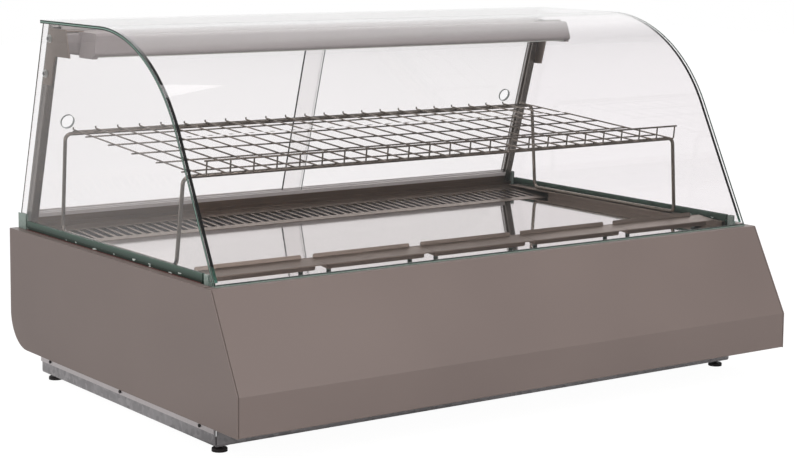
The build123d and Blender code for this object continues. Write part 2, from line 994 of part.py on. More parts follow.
def front_glass_seal():
    top, via, end, foot_point = crown_points(0)
    foot_in = crown_points(glass)[3]
    low = block((-front_glass_half, foot_point[0] - seal_side, body_top),
                (front_glass_half, foot_in[0] + seal_side, front_glass_bottom))
    return low


# Rear posts with ribbed faces and door grooves
rib_wide = 1.6
rib_deep = 0.8
rib_places = (3.0, 6.7, 10.4)
side_rib_start = 5.0
post_groove_deep = 3.0
post_cut_rise = 60.0


def post_foot():
    rear_foot = rear_point(0, 0)
    front_foot = rear_point(frame_deep, 0)
    return outline([rear_foot, front_foot, (front_foot[0], deck_top), (rear_foot[0], deck_top)])


def rear_post():
    ceiling = glass_top - glass - bond_gap
    top = rear_v_at(ceiling, 0)
    post = along_x(rear_box(0, frame_deep, 0, top), post_x_in, post_x_out)
    post -= block((post_x_in - cut_over, 0, ceiling), (post_x_out + cut_over, rear_y, ceiling + post_cut_rise))
    post += along_x(post_foot(), post_x_in, post_x_out)
    for place in rib_places:
        rib = rear_box(frame_deep - rib_deep, frame_deep + cut_over, sill_tall, top + post_cut_rise)
        post -= along_x(rib, post_x_in + place, post_x_in + place + rib_wide)
    for place in rib_places[:2]:
        start = side_rib_start + place * half
        rib = rear_box(start, start + rib_wide * half, sill_tall, top + post_cut_rise)
        post -= along_x(rib, post_x_out - rib_deep, post_x_out + cut_over)
    for u in door_groove_places():
        groove = rear_box(u, u + door_groove, sill_tall + track_floor, rear_v_at(canopy_top, 0))
        post -= along_x(groove, post_x_in - cut_over, post_x_in + post_groove_deep)
    return post


def door_groove_places():
    slack = (door_groove - door_glass) / 2
    return [door_first_u - slack, door_first_u + door_pitch_u - slack]


def rear_sill():
    reach = post_x_in - rear_front_slack
    section = rear_box(0, frame_deep, 0, sill_tall)
    face_y = rear_point(frame_deep, 0)[0]
    toe_top = grille_level(grille_rear_y) - steel_sheet
    toe = block((-reach, face_y - sill_toe, deck_top), (reach, face_y + cut_over, toe_top))
    return along_x(section, -reach, reach) + along_x(post_foot(), -reach, reach) + toe


def door_track_bottom():
    reach = post_x_in - rear_front_slack
    section = rear_box(0, frame_deep, sill_tall, sill_tall + track_tall)
    track = along_x(section, -reach, reach)
    for u in door_groove_places():
        groove = rear_box(u, u + door_groove, sill_tall + track_floor, sill_tall + track_tall + cut_over)
        track -= along_x(groove, -reach - cut_over, reach + cut_over)
    return track


def top_track_low():
    return rear_v_at(glass_top - glass - bond_gap, 0) - top_track_tall - frame_deep * tan(radians(rear_lean))


def door_track_top():
    reach = post_x_in - rear_front_slack
    low = top_track_low()
    section = rear_box(0, frame_deep, low, low + top_track_tall * 2)
    track = along_x(section, -reach, reach)
    ceiling = glass_top - glass - bond_gap
    track -= block((-reach - cut_over, 0, ceiling), (reach + cut_over, rear_y, ceiling + post_cut_rise))
    for u in door_groove_places():
        groove = rear_box(u, u + door_groove, low - cut_over, low + top_groove_tall)
        track -= along_x(groove, -reach - cut_over, reach + cut_over)
    return track


# Frameless sliding doors with round finger holes
def door(u, x_low, x_high, hole_x):
    low = sill_tall + track_floor + door_bottom_gap
    high = top_track_low() + door_top_entry
    pane = along_x(rear_box(u, u + door_glass, low, high), x_low, x_high)
    y, z = rear_point(u, low + finger_hole_v)
    tool = Plane(origin=(hole_x, y, z), z_dir=(0, -lean_cos, -lean_sin)) * Cylinder(finger_hole_radius, 6 * door_glass)
    return pane - tool


def door_left():
    edge = -(post_x_in + door_entry - door_edge_gap)
    return door(door_first_u + door_pitch_u, edge, door_overlap_left, -finger_hole_x)


def door_right():
    edge = post_x_in + door_entry - door_edge_gap
    return door(door_first_u, -door_overlap_right, edge, finger_hole_x)


# Lamp canopy, its end pieces, lens and brackets
def canopy_outline():
    points = [
        (canopy_rear_y, canopy_bottom),
        (canopy_front_y, canopy_bottom),
        (canopy_front_y + canopy_chamfer, canopy_top),
        (canopy_rear_y, canopy_top),
    ]
    face = outline(points)
    front = face.vertices().sort_by(Axis.X)[:2]
    return fillet(front, canopy_chamfer)


def lamp_canopy():
    hood = along_x(canopy_outline(), -canopy_half, canopy_half)
    front = canopy_front_y + diffuser_front
    end = canopy_half + cut_over
    recess = block((-end, front, canopy_bottom - cut_over), (end, front + diffuser_deep, canopy_bottom + diffuser_tall))
    cavity = block((-end, front + diffuser_deep + canopy_cavity_front, canopy_bottom + canopy_wall),
                   (end, canopy_rear_y - canopy_wall, canopy_top - canopy_wall))
    upper = block((-end, front + canopy_lamp_wall, canopy_bottom + diffuser_tall + canopy_wall),
                  (end, front + diffuser_deep + canopy_wall, canopy_top - canopy_lamp_wall))
    return hood - recess - cavity - upper


def lamp_diffuser():
    front = canopy_front_y + diffuser_front + touch_gap
    return block((-canopy_half + diffuser_end_gap, front, canopy_bottom - diffuser_proud),
                 (canopy_half - diffuser_end_gap, front + diffuser_deep - 2 * touch_gap, canopy_bottom + diffuser_tall))


end_piece_front = 216.0
end_piece_inset = 2.0
end_piece_round = 4.0
clear_margin = 30.0
clear_gap = 0.5


def end_cap():
    cap = along_x(canopy_outline(), canopy_half, canopy_half + canopy_cap)
    hang = block((canopy_half, canopy_front_y + canopy_chamfer, canopy_bottom - canopy_cap_hang),
                 (canopy_half + canopy_cap, end_piece_front, canopy_bottom + canopy_wall))
    slope = outline([
        (canopy_half + canopy_cap - canopy_cap_taper, canopy_top),
        (canopy_half + canopy_cap, canopy_bottom),
        (canopy_half + canopy_cap + cut_over, canopy_bottom),
        (canopy_half + canopy_cap + cut_over, canopy_top),
    ])
    return cap + hang - along_y(slope, canopy_front_y - cut_over, end_piece_front)


def canopy_ends():
    low = (canopy_half, end_piece_front, canopy_bottom + end_piece_inset)
    high = (canopy_end_half, canopy_rear_y - end_piece_inset, canopy_top - end_piece_inset * half)
    piece = block(low, high)
    piece = fillet(piece.edges().filter_by(Axis.X).group_by(Axis.Y)[0], end_piece_round)
    piece = piece + end_cap() - rear_strip_clear()
    return Compound(children=[piece, mirrored(piece)])


def rear_strip_clear():
    low = rear_v_at(canopy_bottom - clear_margin, 0)
    high = rear_v_at(canopy_top + clear_margin, 0)
    section = rear_box(-clear_margin, frame_deep + clear_gap, low, high)
    return along_x(section, 0, post_x_out + clear_gap)


def canopy_brackets():
    corners = [
        rear_point(bracket_u_rear, rear_v_at(bracket_foot_z, bracket_u_rear)),
        rear_point(bracket_u_front, rear_v_at(bracket_foot_z, bracket_u_front)),
        rear_point(bracket_u_front, rear_v_at(bracket_arm_z, bracket_u_front)),
        (bracket_arm_y, bracket_arm_z),
        (bracket_arm_top_y, bracket_top_z),
        rear_point(bracket_u_rear, rear_v_at(bracket_top_z, bracket_u_rear)),
    ]
    plate = along_x(outline(corners), post_x_out, post_x_out + bracket_sheet)
    flange = block((post_x_out - bracket_flange, bracket_arm_top_y, canopy_top),
                   (post_x_out + bracket_sheet, canopy_rear_y - bracket_rear_inset, canopy_top + bracket_sheet))
    flange -= rear_strip_clear()
    for y, z in bolt_places():
        plate -= rod_x(bolt_radius + touch_gap, (post_x_out - cut_over, y, z), 4 * bracket_sheet)
    piece = plate + flange
    return Compound(children=[piece, mirrored(piece)])


def bolt_places():
    return [rear_point(bolt_u, rear_v_at(z, bolt_u)) for z in (bolt_upper_z, bolt_lower_z)]


def bracket_bolts():
    pieces = []
    for y, z in bolt_places():
        face = post_x_out + bracket_sheet
        washer = rod_x(washer_radius, (face, y, z), washer_thick)
        hexagon = Pos(y, z) * RegularPolygon(bolt_nut_radius, 6)
        nut = along_x(hexagon, face + washer_thick, face + washer_thick + bolt_nut_tall)
        long = bolt_sunk + washer_thick + bolt_nut_tall + bolt_end
        nut += washer + rod_x(bolt_radius, (face - bolt_sunk, y, z), long)
        pieces += [nut, mirrored(nut)]
    return Compound(children=pieces)


# Shelf stand: two bent side loops butt welded to a front and a rear rod
stand_weld = stand_half - 2 * stand_bend


def stand_loop():
    foot_z = ledge_top + stand_rod
    path = [
        (stand_weld, stand_front_y, stand_front_z),
        (stand_half, stand_front_y, stand_front_z),
        (stand_foot_half_front, stand_foot_front_y, foot_z),
        (stand_foot_half_rear, stand_foot_rear_y, foot_z),
        (stand_half, stand_rear_y, stand_rear_z),
        (stand_weld, stand_rear_y, stand_rear_z),
    ]
    return wire_run(path, stand_rod, stand_bend)


def stand_bar(y, z):
    return rod_x(stand_rod, (-stand_weld, y, z), 2 * stand_weld)


def shelf_stand():
    loop = stand_loop()
    bars = [stand_bar(stand_front_y, stand_front_z), stand_bar(stand_rear_y, stand_rear_z)]
    return Compound(children=[loop, mirrored(loop), *bars])


def shelf_level(y):
    share = (y - stand_front_y) / (stand_rear_y - stand_front_y)
    lift = stand_rod + shelf_wire + shelf_rest_gap
    return stand_front_z + share * (stand_rear_z - stand_front_z) + lift


def shelf_wire_run():
    front_z = shelf_level(shelf_front_y)
    rear_z = shelf_level(shelf_rear_y)
    return [
        (0, shelf_front_y - shelf_upstand_lean, front_z + shelf_upstand),
        (0, shelf_front_y, front_z),
        (0, shelf_rear_y, rear_z),
        (0, shelf_rear_y, rear_z + shelf_hook),
    ]


def shelf_wire_places():
    first = -(shelf_wire_count - 1) * shelf_wire_pitch / 2
    return [first + k * shelf_wire_pitch for k in range(shelf_wire_count)]


def shelf_grid():
    wire = wire_run(shelf_wire_run(), shelf_wire, [shelf_bend, shelf_hook_bend])
    reach = shelf_wire_places()[-1] + cross_wire_over
    cross = []
    for k in range(cross_wire_count):
        y = cross_wire_first_y + k * cross_wire_pitch
        z = shelf_level(y) - 2 * shelf_wire + shelf_sink
        cross.append(rod_x(shelf_wire, (-reach, y, z), 2 * reach))
    rail_reach = shelf_wire_places()[-1] + cross_wire_over / 2
    top = shelf_wire_run()[0]
    cross.append(rod_x(shelf_rail, (-rail_reach, top[1], top[2]), 2 * rail_reach))
    rear_y_place = shelf_rear_y - shelf_rear_wire_inset
    rear_z = shelf_level(rear_y_place) - 2 * shelf_wire + shelf_sink
    cross.append(rod_x(shelf_wire, (-rail_reach, rear_y_place, rear_z), 2 * rail_reach))
    wires = [Pos(x, 0, 0) * wire for x in shelf_wire_places()]
    return wires[0].fuse(*wires[1:], *cross)


# Finned coils with their return bends
def finned_block(low, high, pitch, gap, land):
    core = block(low, high)
    count = int((high[0] - low[0] - 2 * land - gap) / pitch) + 1
    start = (low[0] + land, low[1] - cut_over, low[2] + fin_base)
    end = (low[0] + land + gap, high[1] + cut_over, high[2] + cut_over)
    cut = block(start, end)
    return core.cut(*[Pos(k * pitch, 0, 0) * cut for k in range(count)])


def evaporator_coil():
    low = (evap_x_low, evap_y_low, evap_z_low)
    high = (evap_x_high, evap_y_high, evap_z_high)
    core = finned_block(low, high, evap_fin_pitch, evap_fin_gap, evap_fin_land)
    long = evap_x_high - evap_x_low + 2 * evap_tube_over
    for row in evap_rows:
        y = evap_y_low + row
        for rise in (evap_tube_low, evap_tube_high):
            core += rod_x(evap_tube, (evap_x_low - evap_tube_over, y, evap_z_low + rise), long)
        core += block((evap_x_low - evap_bend_out, y - evap_tube, evap_z_low + evap_tube_low - evap_tube),
                      (evap_x_low - evap_bend_wide, y + evap_tube, evap_z_low + evap_tube_high + evap_tube))
    for x in (evap_x_low, evap_x_high - evap_fin_land):
        core += block((x, evap_y_low, tank_deep_bottom + tank_wall), (x + evap_fin_land, evap_y_high, evap_z_low))
    return core


def condenser_coil():
    low = (cond_x_low, cond_y_low, cond_z_low)
    high = (cond_x_high, cond_y_high, cond_z_high)
    core = finned_block(low, high, cond_fin_pitch, cond_fin_gap, cond_fin_land)
    long = cond_x_high - cond_x_low + 2 * coil_stub
    for k in range(cond_tube_count):
        z = cond_z_low + coil_first + k * coil_pitch
        core += rod_x(cond_tube, (cond_x_low - coil_stub, cond_y_low + coil_inset, z), long)
    foot_low = (cond_x_low, cond_y_low, pan_top)
    foot_high = (cond_x_high, cond_y_low + cond_foot_deep, cond_z_low)
    return core + block(foot_low, foot_high)


# Axial fans: hub with pitched blades, motor on an arm, plate with a ring
cond_fan_x = (cond_x_low + cond_x_high) / 2
shroud_sheet = 1.5
shroud_deep = 30.0
shroud_margin = 4.0
evap_ring_margin = 3.0
motor_radius = 30.0
motor_long = 46.0
motor_round = 5.0
evap_motor_round = 4.0
cond_shaft_long = 19.0
hub_bore = 4.0
shaft_radius = 3.95
blade_count = 5
blade_tilt = 32.0
blade_chord = 0.55
blade_sheet = 1.6
blade_sunk = 3.0
fan_reach = 60.0


def axial_fan(radius, hub_radius, hub_deep):
    hub = Rot(90, 0, 0) * Cylinder(hub_radius, hub_deep)
    long = radius - hub_radius + blade_sunk
    middle = hub_radius - blade_sunk + long / 2
    blade = Pos(0, 0, middle) * Rot(0, 0, blade_tilt) * Box(radius * blade_chord, blade_sheet, long)
    for k in range(blade_count):
        hub += Rot(0, 360 / blade_count * k, 0) * blade
    hub -= Rot(90, 0, 0) * Cylinder(hub_bore, fan_reach)
    return hub & (Rot(90, 0, 0) * Cylinder(radius, fan_reach))


def fan_ring(place, radius, deep):
    x, y, z = place
    outer = rod_y(radius + shroud_sheet, (x, y - deep, z), deep)
    return outer - rod_y(radius, (x, y - deep - cut_over, z), deep + 2 * cut_over)


def condenser_fan():
    return Pos(cond_fan_x, cond_fan_y, cond_fan_z) * axial_fan(cond_fan_radius, cond_hub, cond_hub_deep)


def condenser_shroud():
    y_plate = cond_y_low - shroud_sheet
    opening = cond_fan_radius + shroud_margin
    plate = block((cond_x_low, y_plate, pan_top), (cond_x_high, cond_y_low, cond_z_high))
    plate -= rod_y(opening, (cond_fan_x, y_plate - cut_over, cond_fan_z), 2 * through_cut)
    plate += fan_ring((cond_fan_x, y_plate, cond_fan_z), opening, shroud_deep)
    motor_y = cond_fan_y - cond_hub_deep / 2 - cond_motor_gap - motor_long
    motor = fillet(rod_y(motor_radius, (cond_fan_x, motor_y, cond_fan_z), motor_long).edges(), motor_round)
    shaft = rod_y(shaft_radius, (cond_fan_x, motor_y + motor_long, cond_fan_z), cond_shaft_long)
    arm_y = motor_y + cond_arm_start
    arm = block((cond_fan_x - cond_arm_half, arm_y, pan_top),
                (cond_fan_x + cond_arm_half, arm_y + cond_arm_wide, cond_fan_z - motor_radius + cond_arm_sunk))
    return Compound(children=[plate, motor + shaft + arm])


def evaporator_fan():
    return Pos(evap_fan_x, evap_fan_y, evap_fan_z) * axial_fan(evap_fan_radius, evap_hub, evap_hub_deep)


def evaporator_fan_mount():
    y_plate = evap_fan_y + evap_plate_out
    half_plate = evap_fan_radius + evap_plate_margin
    opening = evap_fan_radius + evap_ring_margin
    floor = tank_deep_bottom + tank_wall
    top = evap_fan_z + evap_fan_radius + evap_plate_head
    plate = block((evap_fan_x - half_plate, y_plate, floor), (evap_fan_x + half_plate, y_plate + shroud_sheet, top))
    plate -= rod_y(opening, (evap_fan_x, y_plate - cut_over, evap_fan_z), 2 * through_cut)
    plate += fan_ring((evap_fan_x, y_plate, evap_fan_z), opening, evap_ring_deep)
    motor_y = evap_fan_y - evap_motor_gap - evap_motor_long
    motor = rod_y(evap_motor_radius, (evap_fan_x, motor_y, evap_fan_z), evap_motor_long)
    motor = fillet(motor.edges(), evap_motor_round)
    shaft = rod_y(shaft_radius, (evap_fan_x, motor_y + evap_motor_long, evap_fan_z), evap_shaft_long)
    arm_y = motor_y + through_cut
    arm = block((evap_fan_x - evap_arm_half, arm_y, floor),
                (evap_fan_x + evap_arm_half, arm_y + evap_arm_wide, evap_fan_z - evap_motor_radius + evap_motor_round))
    return Compound(children=[plate, motor + shaft + arm])


# Hermetic compressor on its foot plate
def compressor():
    base = pan_top + comp_foot
    body_tall = comp_tall - comp_foot
    shell = rod_z(comp_radius, (comp_x, comp_y, base), body_tall)
    shell = fillet(shell.edges().group_by(Axis.Z)[-1], comp_round)
    seam_z = base + body_tall * comp_seam_share
    body = shell + rod_z(comp_radius + comp_seam_out, (comp_x, comp_y, seam_z), comp_seam_tall)
    body += block((comp_x - comp_plate_x, comp_y - comp_plate_y, base - comp_plate_half),
                  (comp_x + comp_plate_x, comp_y + comp_plate_y, base + comp_plate_half))
    for x in (comp_x - comp_grommet_x, comp_x + comp_grommet_x):
        for y in (comp_y - comp_grommet_y, comp_y + comp_grommet_y):
            body += rod_z(comp_grommet, (x, y, pan_top), comp_foot)
    body += rod_y(stub_radius, (comp_x - stub_shift, comp_y, pan_top + stub_lift), stub_end)
    body += rod_x(stub_radius, (comp_x - stub_end, comp_y, passage_z), stub_end)
    box_low = (comp_x + comp_radius - comp_box_sunk, comp_y - comp_box_out, base + comp_box_low)
    box_high = (comp_x + comp_radius + comp_box_out, comp_y + comp_box_out, base + comp_box_high)
    return body + block(box_low, box_high)


# Refrigerant pipes with the filter drier
def discharge_pipe():
    level = pan_top + stub_lift
    side_x = cond_x_low - pipe_lane
    top_level = cond_z_low + coil_first + (cond_tube_count - 1) * coil_pitch
    return wire_run([
        (comp_x - stub_shift, comp_y + stub_end, level),
        (comp_x - stub_shift, comp_y + discharge_out, level),
        (side_x, comp_y + discharge_out, level),
        (side_x, cond_y_low + coil_inset, level),
        (side_x, cond_y_low + coil_inset, top_level),
        (cond_x_low - coil_stub, cond_y_low + coil_inset, top_level),
    ], pipe_radius, pipe_bend)


def liquid_pipe():
    lane = cond_x_low - coil_inset
    pipe = wire_run([
        (cond_x_low - coil_stub, cond_y_low + coil_inset, cond_z_low + coil_first),
        (lane, cond_y_low + coil_inset, cond_z_low + coil_first),
        (lane, passage_y + pipe_split, cond_z_low + coil_first),
        (lane, passage_y + pipe_split, passage_z),
        (evap_x_high + liquid_out, passage_y + pipe_split, passage_z),
        (evap_x_high + liquid_out, evap_y_low + evap_rows[1], passage_z),
        (evap_x_high + evap_stub, evap_y_low + evap_rows[1], passage_z),
    ], pipe_radius, pipe_small_bend)
    drier = rod_y(drier_radius, (lane, drier_start_y, cond_z_low + coil_first), drier_long)
    return pipe + fillet(drier.edges(), drier_round)


def suction_pipe():
    lane = tank_step_x + suction_lane
    return wire_run([
        (evap_x_high + evap_stub, evap_y_low + evap_rows[0], passage_z),
        (evap_x_high + suction_out, evap_y_low + evap_rows[0], passage_z),
        (evap_x_high + suction_out, passage_y - pipe_split, passage_z),
        (lane, passage_y - pipe_split, passage_z),
        (lane, comp_y, passage_z),
        (comp_x - stub_end, comp_y, passage_z),
    ], pipe_radius, pipe_bend)


def refrigerant_pipes():
    return Compound(children=[discharge_pipe(), liquid_pipe(), suction_pipe()])


# Drain pipe and the tray that catches its water
tray_half_x = 120.0
tray_half_y = 90.0
tray_tall = 26.0
tray_wall = 1.5
drain_end_lift = 12.0


def drain_tray():
    floor = pan_top
    tray = block((drain_x - tray_half_x, drain_y - tray_half_y, floor),
                 (drain_x + tray_half_x, drain_y + tray_half_y, floor + tray_tall))
    inner_x = tray_half_x - tray_wall
    inner_y = tray_half_y - tray_wall
    tray -= block((drain_x - inner_x, drain_y - inner_y, floor + tray_wall),
                  (drain_x + inner_x, drain_y + inner_y, floor + tray_tall + cut_over))
    low = floor + drain_end_lift
    long = tank_deep_bottom + tank_wall - liner_sheet - low
    pipe = rod_z(drain_radius, (drain_x, drain_y, low), long)
    pipe -= rod_z(drain_radius - drain_wall, (drain_x, drain_y, low - cut_over), long + 2 * cut_over)
    return Compound(children=[tray, pipe])


# Controller with pressed keys and two rocker switches in the rear panel
def control_outer_y():
    return rear_panel_y + panel_sheet / 2


def controller_case():
    face = control_outer_y()
    front = face + control_face
    bezel = block((control_x - control_wide / 2, face, control_z - control_tall / 2),
                  (control_x + control_wide / 2, front, control_z + control_tall / 2))
    bezel = fillet(bezel.edges().filter_by(Axis.Y), control_corner)
    wide = control_wide / 2 - control_lap - control_body_gap
    tall = control_tall / 2 - control_lap - control_body_gap
    case = bezel + block((control_x - wide, face - control_deep, control_z - tall),
                         (control_x + wide, face, control_z + tall))
    case -= block((control_x - control_wide / 2 + window_inset, front - window_deep, control_z - window_half),
                  (control_x - window_gap, front + cut_over, control_z + window_half))
    wide = key_wide / 2 + key_gap
    tall = key_tall / 2 + key_gap
    for x in key_places():
        case -= block((x - wide, front - key_pocket, control_z - tall), (x + wide, front + cut_over, control_z + tall))
    return case


def key_places():
    return [control_x + key_first_x + k * key_pitch for k in range(3)]


def controller_key(number):
    x = key_places()[number]
    front = control_outer_y() + control_face
    key = block((x - key_wide / 2, front - key_sunk, control_z - key_tall / 2),
                (x + key_wide / 2, front + key_proud, control_z + key_tall / 2))
    return fillet(key.edges().group_by(Axis.Y)[-1], key_round)


def switch_frames():
    face = control_outer_y()
    frames = []
    for x in switch_places():
        rim = block((x - switch_wide / 2, face, control_z - switch_tall / 2),
                    (x + switch_wide / 2, face + switch_rim, control_z + switch_tall / 2))
        wide = switch_wide / 2 - switch_lap - switch_body_gap
        tall = switch_tall / 2 - switch_lap - switch_body_gap
        body = block((x - wide, face - switch_deep, control_z - tall), (x + wide, face, control_z + tall))
        wide = rocker_wide / 2 + rocker_gap
        tall = rocker_tall / 2 + rocker_gap
        well = block((x - wide, face - switch_well, control_z - tall),
                     (x + wide, face + switch_rim + cut_over, control_z + tall))
        frames.append(rim + body - well)
    return Compound(children=frames)


def rocker(number):
    x = switch_places()[number]
    face = control_outer_y()
    pivot_y = face - rocker_pivot
    tall = rocker_tall / 2 - rocker_slack
    shoulder = tall - small_fold
    points = [
        (pivot_y - rocker_waist, control_z - shoulder),
        (face + rocker_proud, control_z - tall),
        (face + rocker_middle, control_z),
        (face + rocker_proud, control_z + tall),
        (pivot_y - rocker_waist, control_z + shoulder),
        (pivot_y - 2 * rocker_waist, control_z),
    ]
    body = along_x(outline(points), x - rocker_wide / 2, x + rocker_wide / 2)
    return Pos(0, pivot_y, control_z) * Rot(rocker_tilt, 0, 0) * Pos(0, -pivot_y, -control_z) * body


# Every piece under its own file name
def save(shape, name):
    export_step(shape, "parts/" + name + ".step")


save(chassis_frame(), "chassis_frame")
for (x, y), name in zip(feet_places(), ("front_left", "rear_left", "front_right", "rear_right")):
    save(foot(x, y), "foot_" + name)
save(base_pan(), "base_pan")
save(Compound(children=[base_screws(), rear_screws()]), "body_screws")
save(end_panel(), "end_panel_right")
save(mirrored(end_panel()), "end_panel_left")
save(front_panel(), "front_panel")
save(rear_panel(), "rear_panel")
save(tank_supports(), "tank_supports")
save(tank_insulation(), "tank_insulation")
save(tank_liner(), "tank_liner")
save(display_deck(), "display_deck")
save(rear_grille(), "rear_grille")
for number in range(guide_count):
    save(guide_plate(number), "front_plate_" + str(number + 1))
save(side_ledge(), "side_ledge_right")
save(mirrored(side_ledge()), "side_ledge_left")
save(glass_channel(), "glass_channel_right")
save(mirrored(glass_channel()), "glass_channel_left")
save(glass_clips(), "glass_clips")
save(side_glass(), "side_glass_right")
save(mirrored(side_glass()), "side_glass_left")
save(front_glass(), "front_glass")
save(front_glass_seal(), "front_glass_seal")
save(rear_post(), "rear_post_right")
save(mirrored(rear_post()), "rear_post_left")
save(rear_sill(), "rear_sill")
save(door_track_bottom(), "door_track_bottom")
save(door_track_top(), "door_track_top")
save(door_left(), "door_left")
save(door_right(), "door_right")
save(lamp_canopy(), "lamp_canopy")
save(canopy_ends(), "canopy_ends")
save(lamp_diffuser(), "lamp_diffuser")
save(canopy_brackets(), "canopy_brackets")
save(bracket_bolts(), "bracket_bolts")
save(shelf_stand(), "shelf_stand")
save(shelf_grid(), "shelf_grid")
save(compressor(), "compressor")
save(condenser_coil(), "condenser_coil")
save(condenser_shroud(), "condenser_shroud")
save(condenser_fan(), "condenser_fan")
save(evaporator_coil(), "evaporator_coil")
save(evaporator_fan_mount(), "evaporator_fan_mount")
save(evaporator_fan(), "evaporator_fan")
save(refrigerant_pipes(), "refrigerant_pipes")
save(drain_tray(), "drain_tray")
save(controller_case(), "controller_case")
for number in range(3):
    save(controller_key(number), "controller_key_" + str(number + 1))
save(switch_frames(), "switch_frames")
save(rocker(0), "power_switch")
save(rocker(1), "light_switch")
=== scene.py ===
import bpy
import bmesh
from math import cos, pi, radians, sin
from mathutils import Matrix, Vector


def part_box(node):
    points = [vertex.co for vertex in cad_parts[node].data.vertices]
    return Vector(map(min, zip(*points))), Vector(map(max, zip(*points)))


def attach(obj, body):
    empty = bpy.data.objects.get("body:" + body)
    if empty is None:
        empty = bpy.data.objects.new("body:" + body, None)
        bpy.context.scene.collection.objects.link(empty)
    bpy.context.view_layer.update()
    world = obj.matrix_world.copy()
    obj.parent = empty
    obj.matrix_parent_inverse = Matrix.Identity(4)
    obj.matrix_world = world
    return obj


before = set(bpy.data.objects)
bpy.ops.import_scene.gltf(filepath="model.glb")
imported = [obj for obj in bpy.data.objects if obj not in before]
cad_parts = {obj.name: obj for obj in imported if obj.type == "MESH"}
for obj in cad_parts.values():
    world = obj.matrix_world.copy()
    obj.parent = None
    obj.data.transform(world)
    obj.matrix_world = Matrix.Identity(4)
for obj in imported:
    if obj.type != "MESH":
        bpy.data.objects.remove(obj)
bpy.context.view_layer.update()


# Viewpoint of the photograph: on the case's left front and a little above it, looking
# down, with a small lens shift that keeps the posts and corners nearly upright.
scene = bpy.context.scene
scene.view_settings.view_transform = "Standard"
scene.cycles.transparent_max_bounces = 24
scene.cycles.max_bounces = 16
scene.cycles.transmission_bounces = 16
turn_right = radians(34.94)
tilt_down = radians(7.03)
roll = radians(0.43)
ahead = Vector((sin(turn_right) * cos(tilt_down), cos(turn_right) * cos(tilt_down), -sin(tilt_down)))
level_right = Vector((cos(turn_right), -sin(turn_right), 0.0))
level_up = level_right.cross(ahead)
right = cos(roll) * level_right + sin(roll) * level_up
up = right.cross(ahead)
lens = bpy.data.cameras.new("shop_view")
lens.sensor_width = 36.0
lens.lens = 88.74
lens.shift_x = 0.0481
lens.shift_y = -0.0882
lens.clip_end = 100.0
viewer = bpy.data.objects.new("shop_view", lens)
place = Matrix((right, up, -ahead)).transposed().to_4x4()
place.translation = (-2.1250, -2.9073, 0.8500)
viewer.matrix_world = place
scene.collection.objects.link(viewer)
scene.camera = viewer


# Photo studio: a white sweep under and behind the case, soft boxes above and beside it,
# and a dim room in front that polished and brushed metal shows as a brown shade.
def linear(hex_colour):
    shares = [int(hex_colour[k:k + 2], 16) / 255 for k in (1, 3, 5)]
    return [s / 12.92 if s <= 0.04045 else ((s + 0.055) / 1.055) ** 2.4 for s in shares] + [1.0]


def add_node(tree, kind, inputs={}, **settings):
    made = tree.nodes.new(kind)
    for name, value in settings.items():
        setattr(made, name, value)
    for name, value in inputs.items():
        if isinstance(value, bpy.types.NodeSocket):
            tree.links.new(value, made.inputs[name])
        else:
            made.inputs[name].default_value = value
    return made


# Metal sees a bright wall behind the case, a dim room in front of it, and some shade on
# the left. All three stand still in the studio, wherever the camera is.
dim_side = (0.35, -0.93, 0.1)
wall_ends, room_begins, room_level = -0.24, 0.02, 0.2
shade_full, shade_ends, shade_level = -0.35, 0.1, 0.5


def room_seen_in_metal(tree, direction):
    frontward = add_node(tree, "ShaderNodeVectorMath", {0: direction, 1: dim_side}, operation="DOT_PRODUCT")
    wall = add_node(tree, "ShaderNodeMapRange",
                    {"Value": frontward.outputs["Value"], "From Min": wall_ends,
                     "From Max": room_begins, "To Min": 1.0, "To Max": room_level})
    to_right = add_node(tree, "ShaderNodeVectorMath", {0: direction, 1: (1.0, 0.0, 0.0)},
                        operation="DOT_PRODUCT")
    left_shade = add_node(tree, "ShaderNodeMapRange",
                          {"Value": to_right.outputs["Value"], "From Min": shade_full,
                           "From Max": shade_ends, "To Min": shade_level, "To Max": 1.0})
    return add_node(tree, "ShaderNodeMath", {0: wall.outputs["Result"], 1: left_shade.outputs["Result"]},
                    operation="MULTIPLY")


# Rays straight from the lens, or through glass, see plain white. Rays off metal see the
# room, and rays off dull surfaces see an even level that lights the case.
def ways_seen(tree):
    ray = add_node(tree, "ShaderNodeLightPath")
    in_metal = add_node(tree, "ShaderNodeMath", {0: ray.outputs["Glossy Depth"], 1: 0.5},
                        operation="GREATER_THAN")
    bounced = add_node(tree, "ShaderNodeMath",
                       {0: ray.outputs["Diffuse Depth"], 1: ray.outputs["Glossy Depth"]})
    direct = add_node(tree, "ShaderNodeMath", {0: bounced.outputs[0], 1: 0.5}, operation="LESS_THAN")
    return direct.outputs[0], in_metal.outputs[0]


studio_white = linear("#ffffff")
even_level = 0.62
sky = bpy.data.worlds.new("studio_sky")
sky.use_nodes = True
tree = sky.node_tree
direct, in_metal = ways_seen(tree)
facing = add_node(tree, "ShaderNodeTexCoord")
mirrored = room_seen_in_metal(tree, facing.outputs["Generated"])
dimmed = add_node(tree, "ShaderNodeMix", {0: in_metal, 2: even_level, 3: mirrored.outputs[0]})
level = add_node(tree, "ShaderNodeMix", {0: direct, 2: dimmed.outputs[0], 3: 1.0})
glow = tree.nodes["Background"]
glow.inputs["Color"].default_value = studio_white
tree.links.new(level.outputs[0], glow.inputs["Strength"])
scene.world = sky

